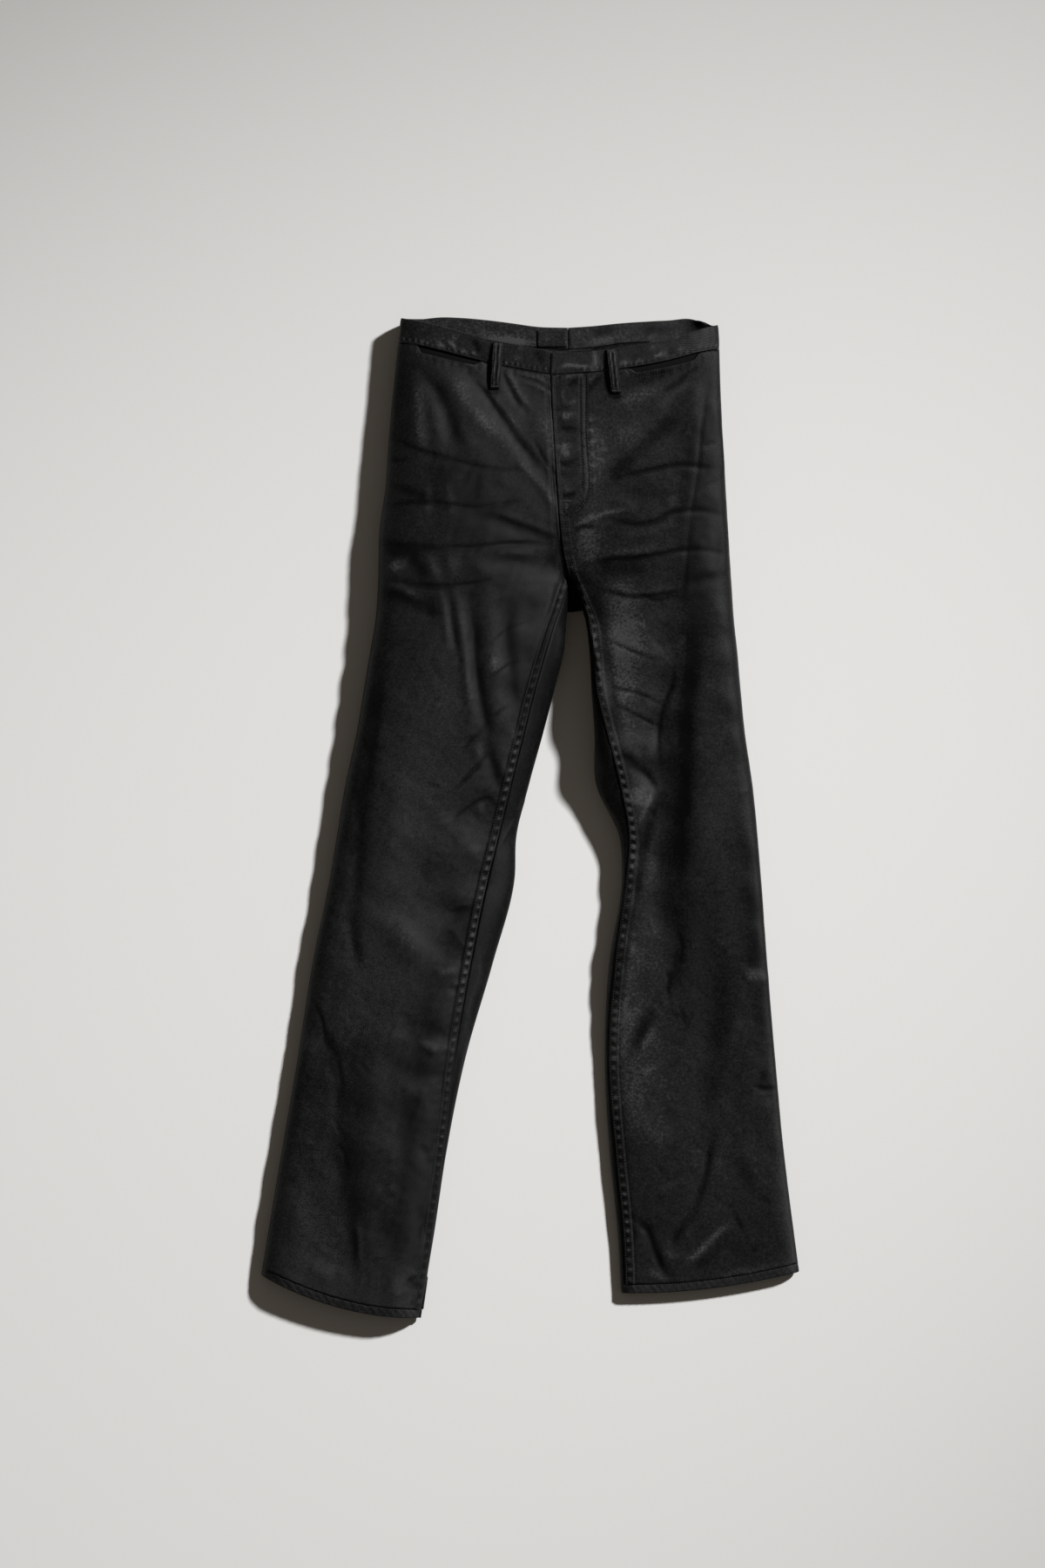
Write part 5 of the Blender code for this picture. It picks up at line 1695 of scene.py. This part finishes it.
def threadPiece(name, runs, tacks=()):
    mesh = bmesh.new()
    for run in runs:
        stitches(mesh, run, thread["pitch"], thread["length"], thread["radius"])
    for run in tacks:
        stitches(mesh, run, thread["tackPitch"], thread["tackLength"], thread["tackRadius"],
                 turned=True)
    print(name, len(mesh.faces) // 20, "stitches")
    return madeFor(meshPiece(mesh, name, sewingThread), "thread")


def seamPath(half, gap, fromY, toY):   # a row beside the centre front or the inseam
    y = np.arange(fromY, toY, 4.0)
    up = pictureCorner["up"] - y
    across = frontLine(half, up) + seamShift(half, up) + sideOf[half] * gap
    return list(zip(across - pictureCorner["across"], y))


def frontThread(half):
    name = "front_" + half
    rows = [castRow(name, seamPath(half, gap, seam["rowsFrom"], seam["rowsTo"][half]))
            for gap in seam["rowsIn"]]
    slit = np.linspace(pocket["from"] + pocket["rowInset"], pocket["to"] - pocket["rowInset"], 60)
    for down in pocket["rows"]:
        edge = seam["share"] + pocketNotch(slit) + down / cut["bodyRun"]
        rows.append(clothRow(frontCloth, half, slit, edge))
    if half == "left":
        rows += [castRow(name, path) for path in fly["jRows"]]
        edgePath = seamPath(half, fly["edgeRow"], fly["edgeRowFrom"], fly["crotchFrom"])
        rows.append(castRow(name, edgePath))
        rows += [castRow(name, seamPath(half, gap, fly["crotchFrom"], fly["crotchTo"]))
                 for gap in fly["crotchRows"]]
    threadPiece("thread_" + name, rows, [castRow(name, path) for path in frontTacks[half]])


def bandThread(half):
    name = "waistband_" + half
    around = np.concatenate([frontColumns(half)[1:-1], between(waistband["backColumns"])[1:-1]])
    rows = [clothRow(bandCloth, half, around, np.full(len(around), at), 0 * around)
            for at in waistband["rows"]]
    threadPiece("thread_" + name, rows + [castRow(name, path) for path in bandRows[half]])


def hemThread(half):
    around = np.concatenate([frontColumns(half)[:-1], between(hem["backColumns"])])
    row = clothRow(hemCloth, half, around, np.full(len(around), hem["row"]), 0 * around)
    threadPiece("thread_hem_" + half, [row])


def loopThread(strip):
    along = np.linspace(0.05, 0.95, 30)
    across = np.linspace(-loopCut["tackReach"], loopCut["tackReach"], 12)
    runs = [clothRow(loopCloth, strip, np.full(30, aside), along, 0 * along)
            for aside in (-loopCut["rowAt"], loopCut["rowAt"])]
    tacks = [clothRow(loopCloth, strip, across, np.full(12, end), 0 * across)
             for end in loopCut["tacksAt"]]
    threadPiece("thread_" + strip.name, runs, tacks)


for half in ("right", "left"):
    frontThread(half)
    bandThread(half)
    hemThread(half)
for strip in beltLoops:
    loopThread(strip)
print("stitches made")

studio = {
    "floor": (0.80, 0.795, 0.785),
    "floorSize": 6,
    "floorUnder": 0.3,       # millimetres
    "floorRoughness": 0.9,
    "floorSpecular": 0.1,
    "keyAzimuth": 39.0,
    "keyElevation": 34.0,
    "keyDistance": 12.0,
    "keyRadius": 0.5,
    "keyPower": 9350.0,
    "keyAim": (-0.82, -0.80, 0.0),
    "keyCone": 19.7,
    "fill": 0.075,           # the room's own light
    "fillColour": (1.0, 0.87, 0.72, 1),
    "cameraHeight": 10.0,
    "lens": 200.0,           # on a 36 mm sensor
    "pictureMiddle": (600.0, 900.0),
}


def pointAt(thing, towards):
    thing.rotation_euler = Vector(towards).to_track_quat("-Z", "Y").to_euler()


def makeStudio():
    mesh = bmesh.new()
    bmesh.ops.create_grid(mesh, x_segments=1, y_segments=1, size=studio["floorSize"])
    bmesh.ops.translate(mesh, verts=mesh.verts, vec=(0, 0, -studio["floorUnder"] * mm))
    pale = bpy.data.materials.new("paleFloor")
    pale.use_nodes = True
    shader = pale.node_tree.nodes["Principled BSDF"]
    shader.inputs["Base Color"].default_value = (*studio["floor"], 1)
    shader.inputs["Roughness"].default_value = studio["floorRoughness"]
    shader.inputs["Specular IOR Level"].default_value = studio["floorSpecular"]
    meshPiece(mesh, "floor", pale)

    azimuth, elevation = math.radians(studio["keyAzimuth"]), math.radians(studio["keyElevation"])
    level = math.cos(elevation)
    way = Vector((level * math.cos(azimuth), level * math.sin(azimuth), math.sin(elevation)))
    key = bpy.data.lights.new("keyLight", "SPOT")
    key.shadow_soft_size = studio["keyRadius"]
    key.spot_size = math.radians(studio["keyCone"])
    key.spot_blend = 1.0
    key.energy = studio["keyPower"]
    lamp = bpy.data.objects.new("keyLight", key)
    lamp.location = way * studio["keyDistance"]
    pointAt(lamp, Vector(studio["keyAim"]) - lamp.location)

    world = bpy.data.worlds.new("room")
    bpy.context.scene.world = world
    world.use_nodes = True
    tree = world.node_tree
    background = tree.nodes["Background"]
    background.inputs["Strength"].default_value = studio["fill"]
    background.inputs["Color"].default_value = studio["fillColour"]

    view = bpy.data.cameras.new("camera")
    view.lens = studio["lens"]
    view.clip_end = 100
    camera = bpy.data.objects.new("camera", view)
    x, y = studio["pictureMiddle"]
    middle = np.array([x + pictureCorner["across"], pictureCorner["up"] - y, 0.0])
    camera.location = Vector(toFrame(middle)) + Vector((0, 0, studio["cameraHeight"]))
    for thing in (lamp, camera):
        bpy.context.scene.collection.objects.link(thing)
    bpy.context.scene.camera = camera
    bpy.context.scene.view_settings.view_transform = "Standard"


makeStudio()
print("studio made")
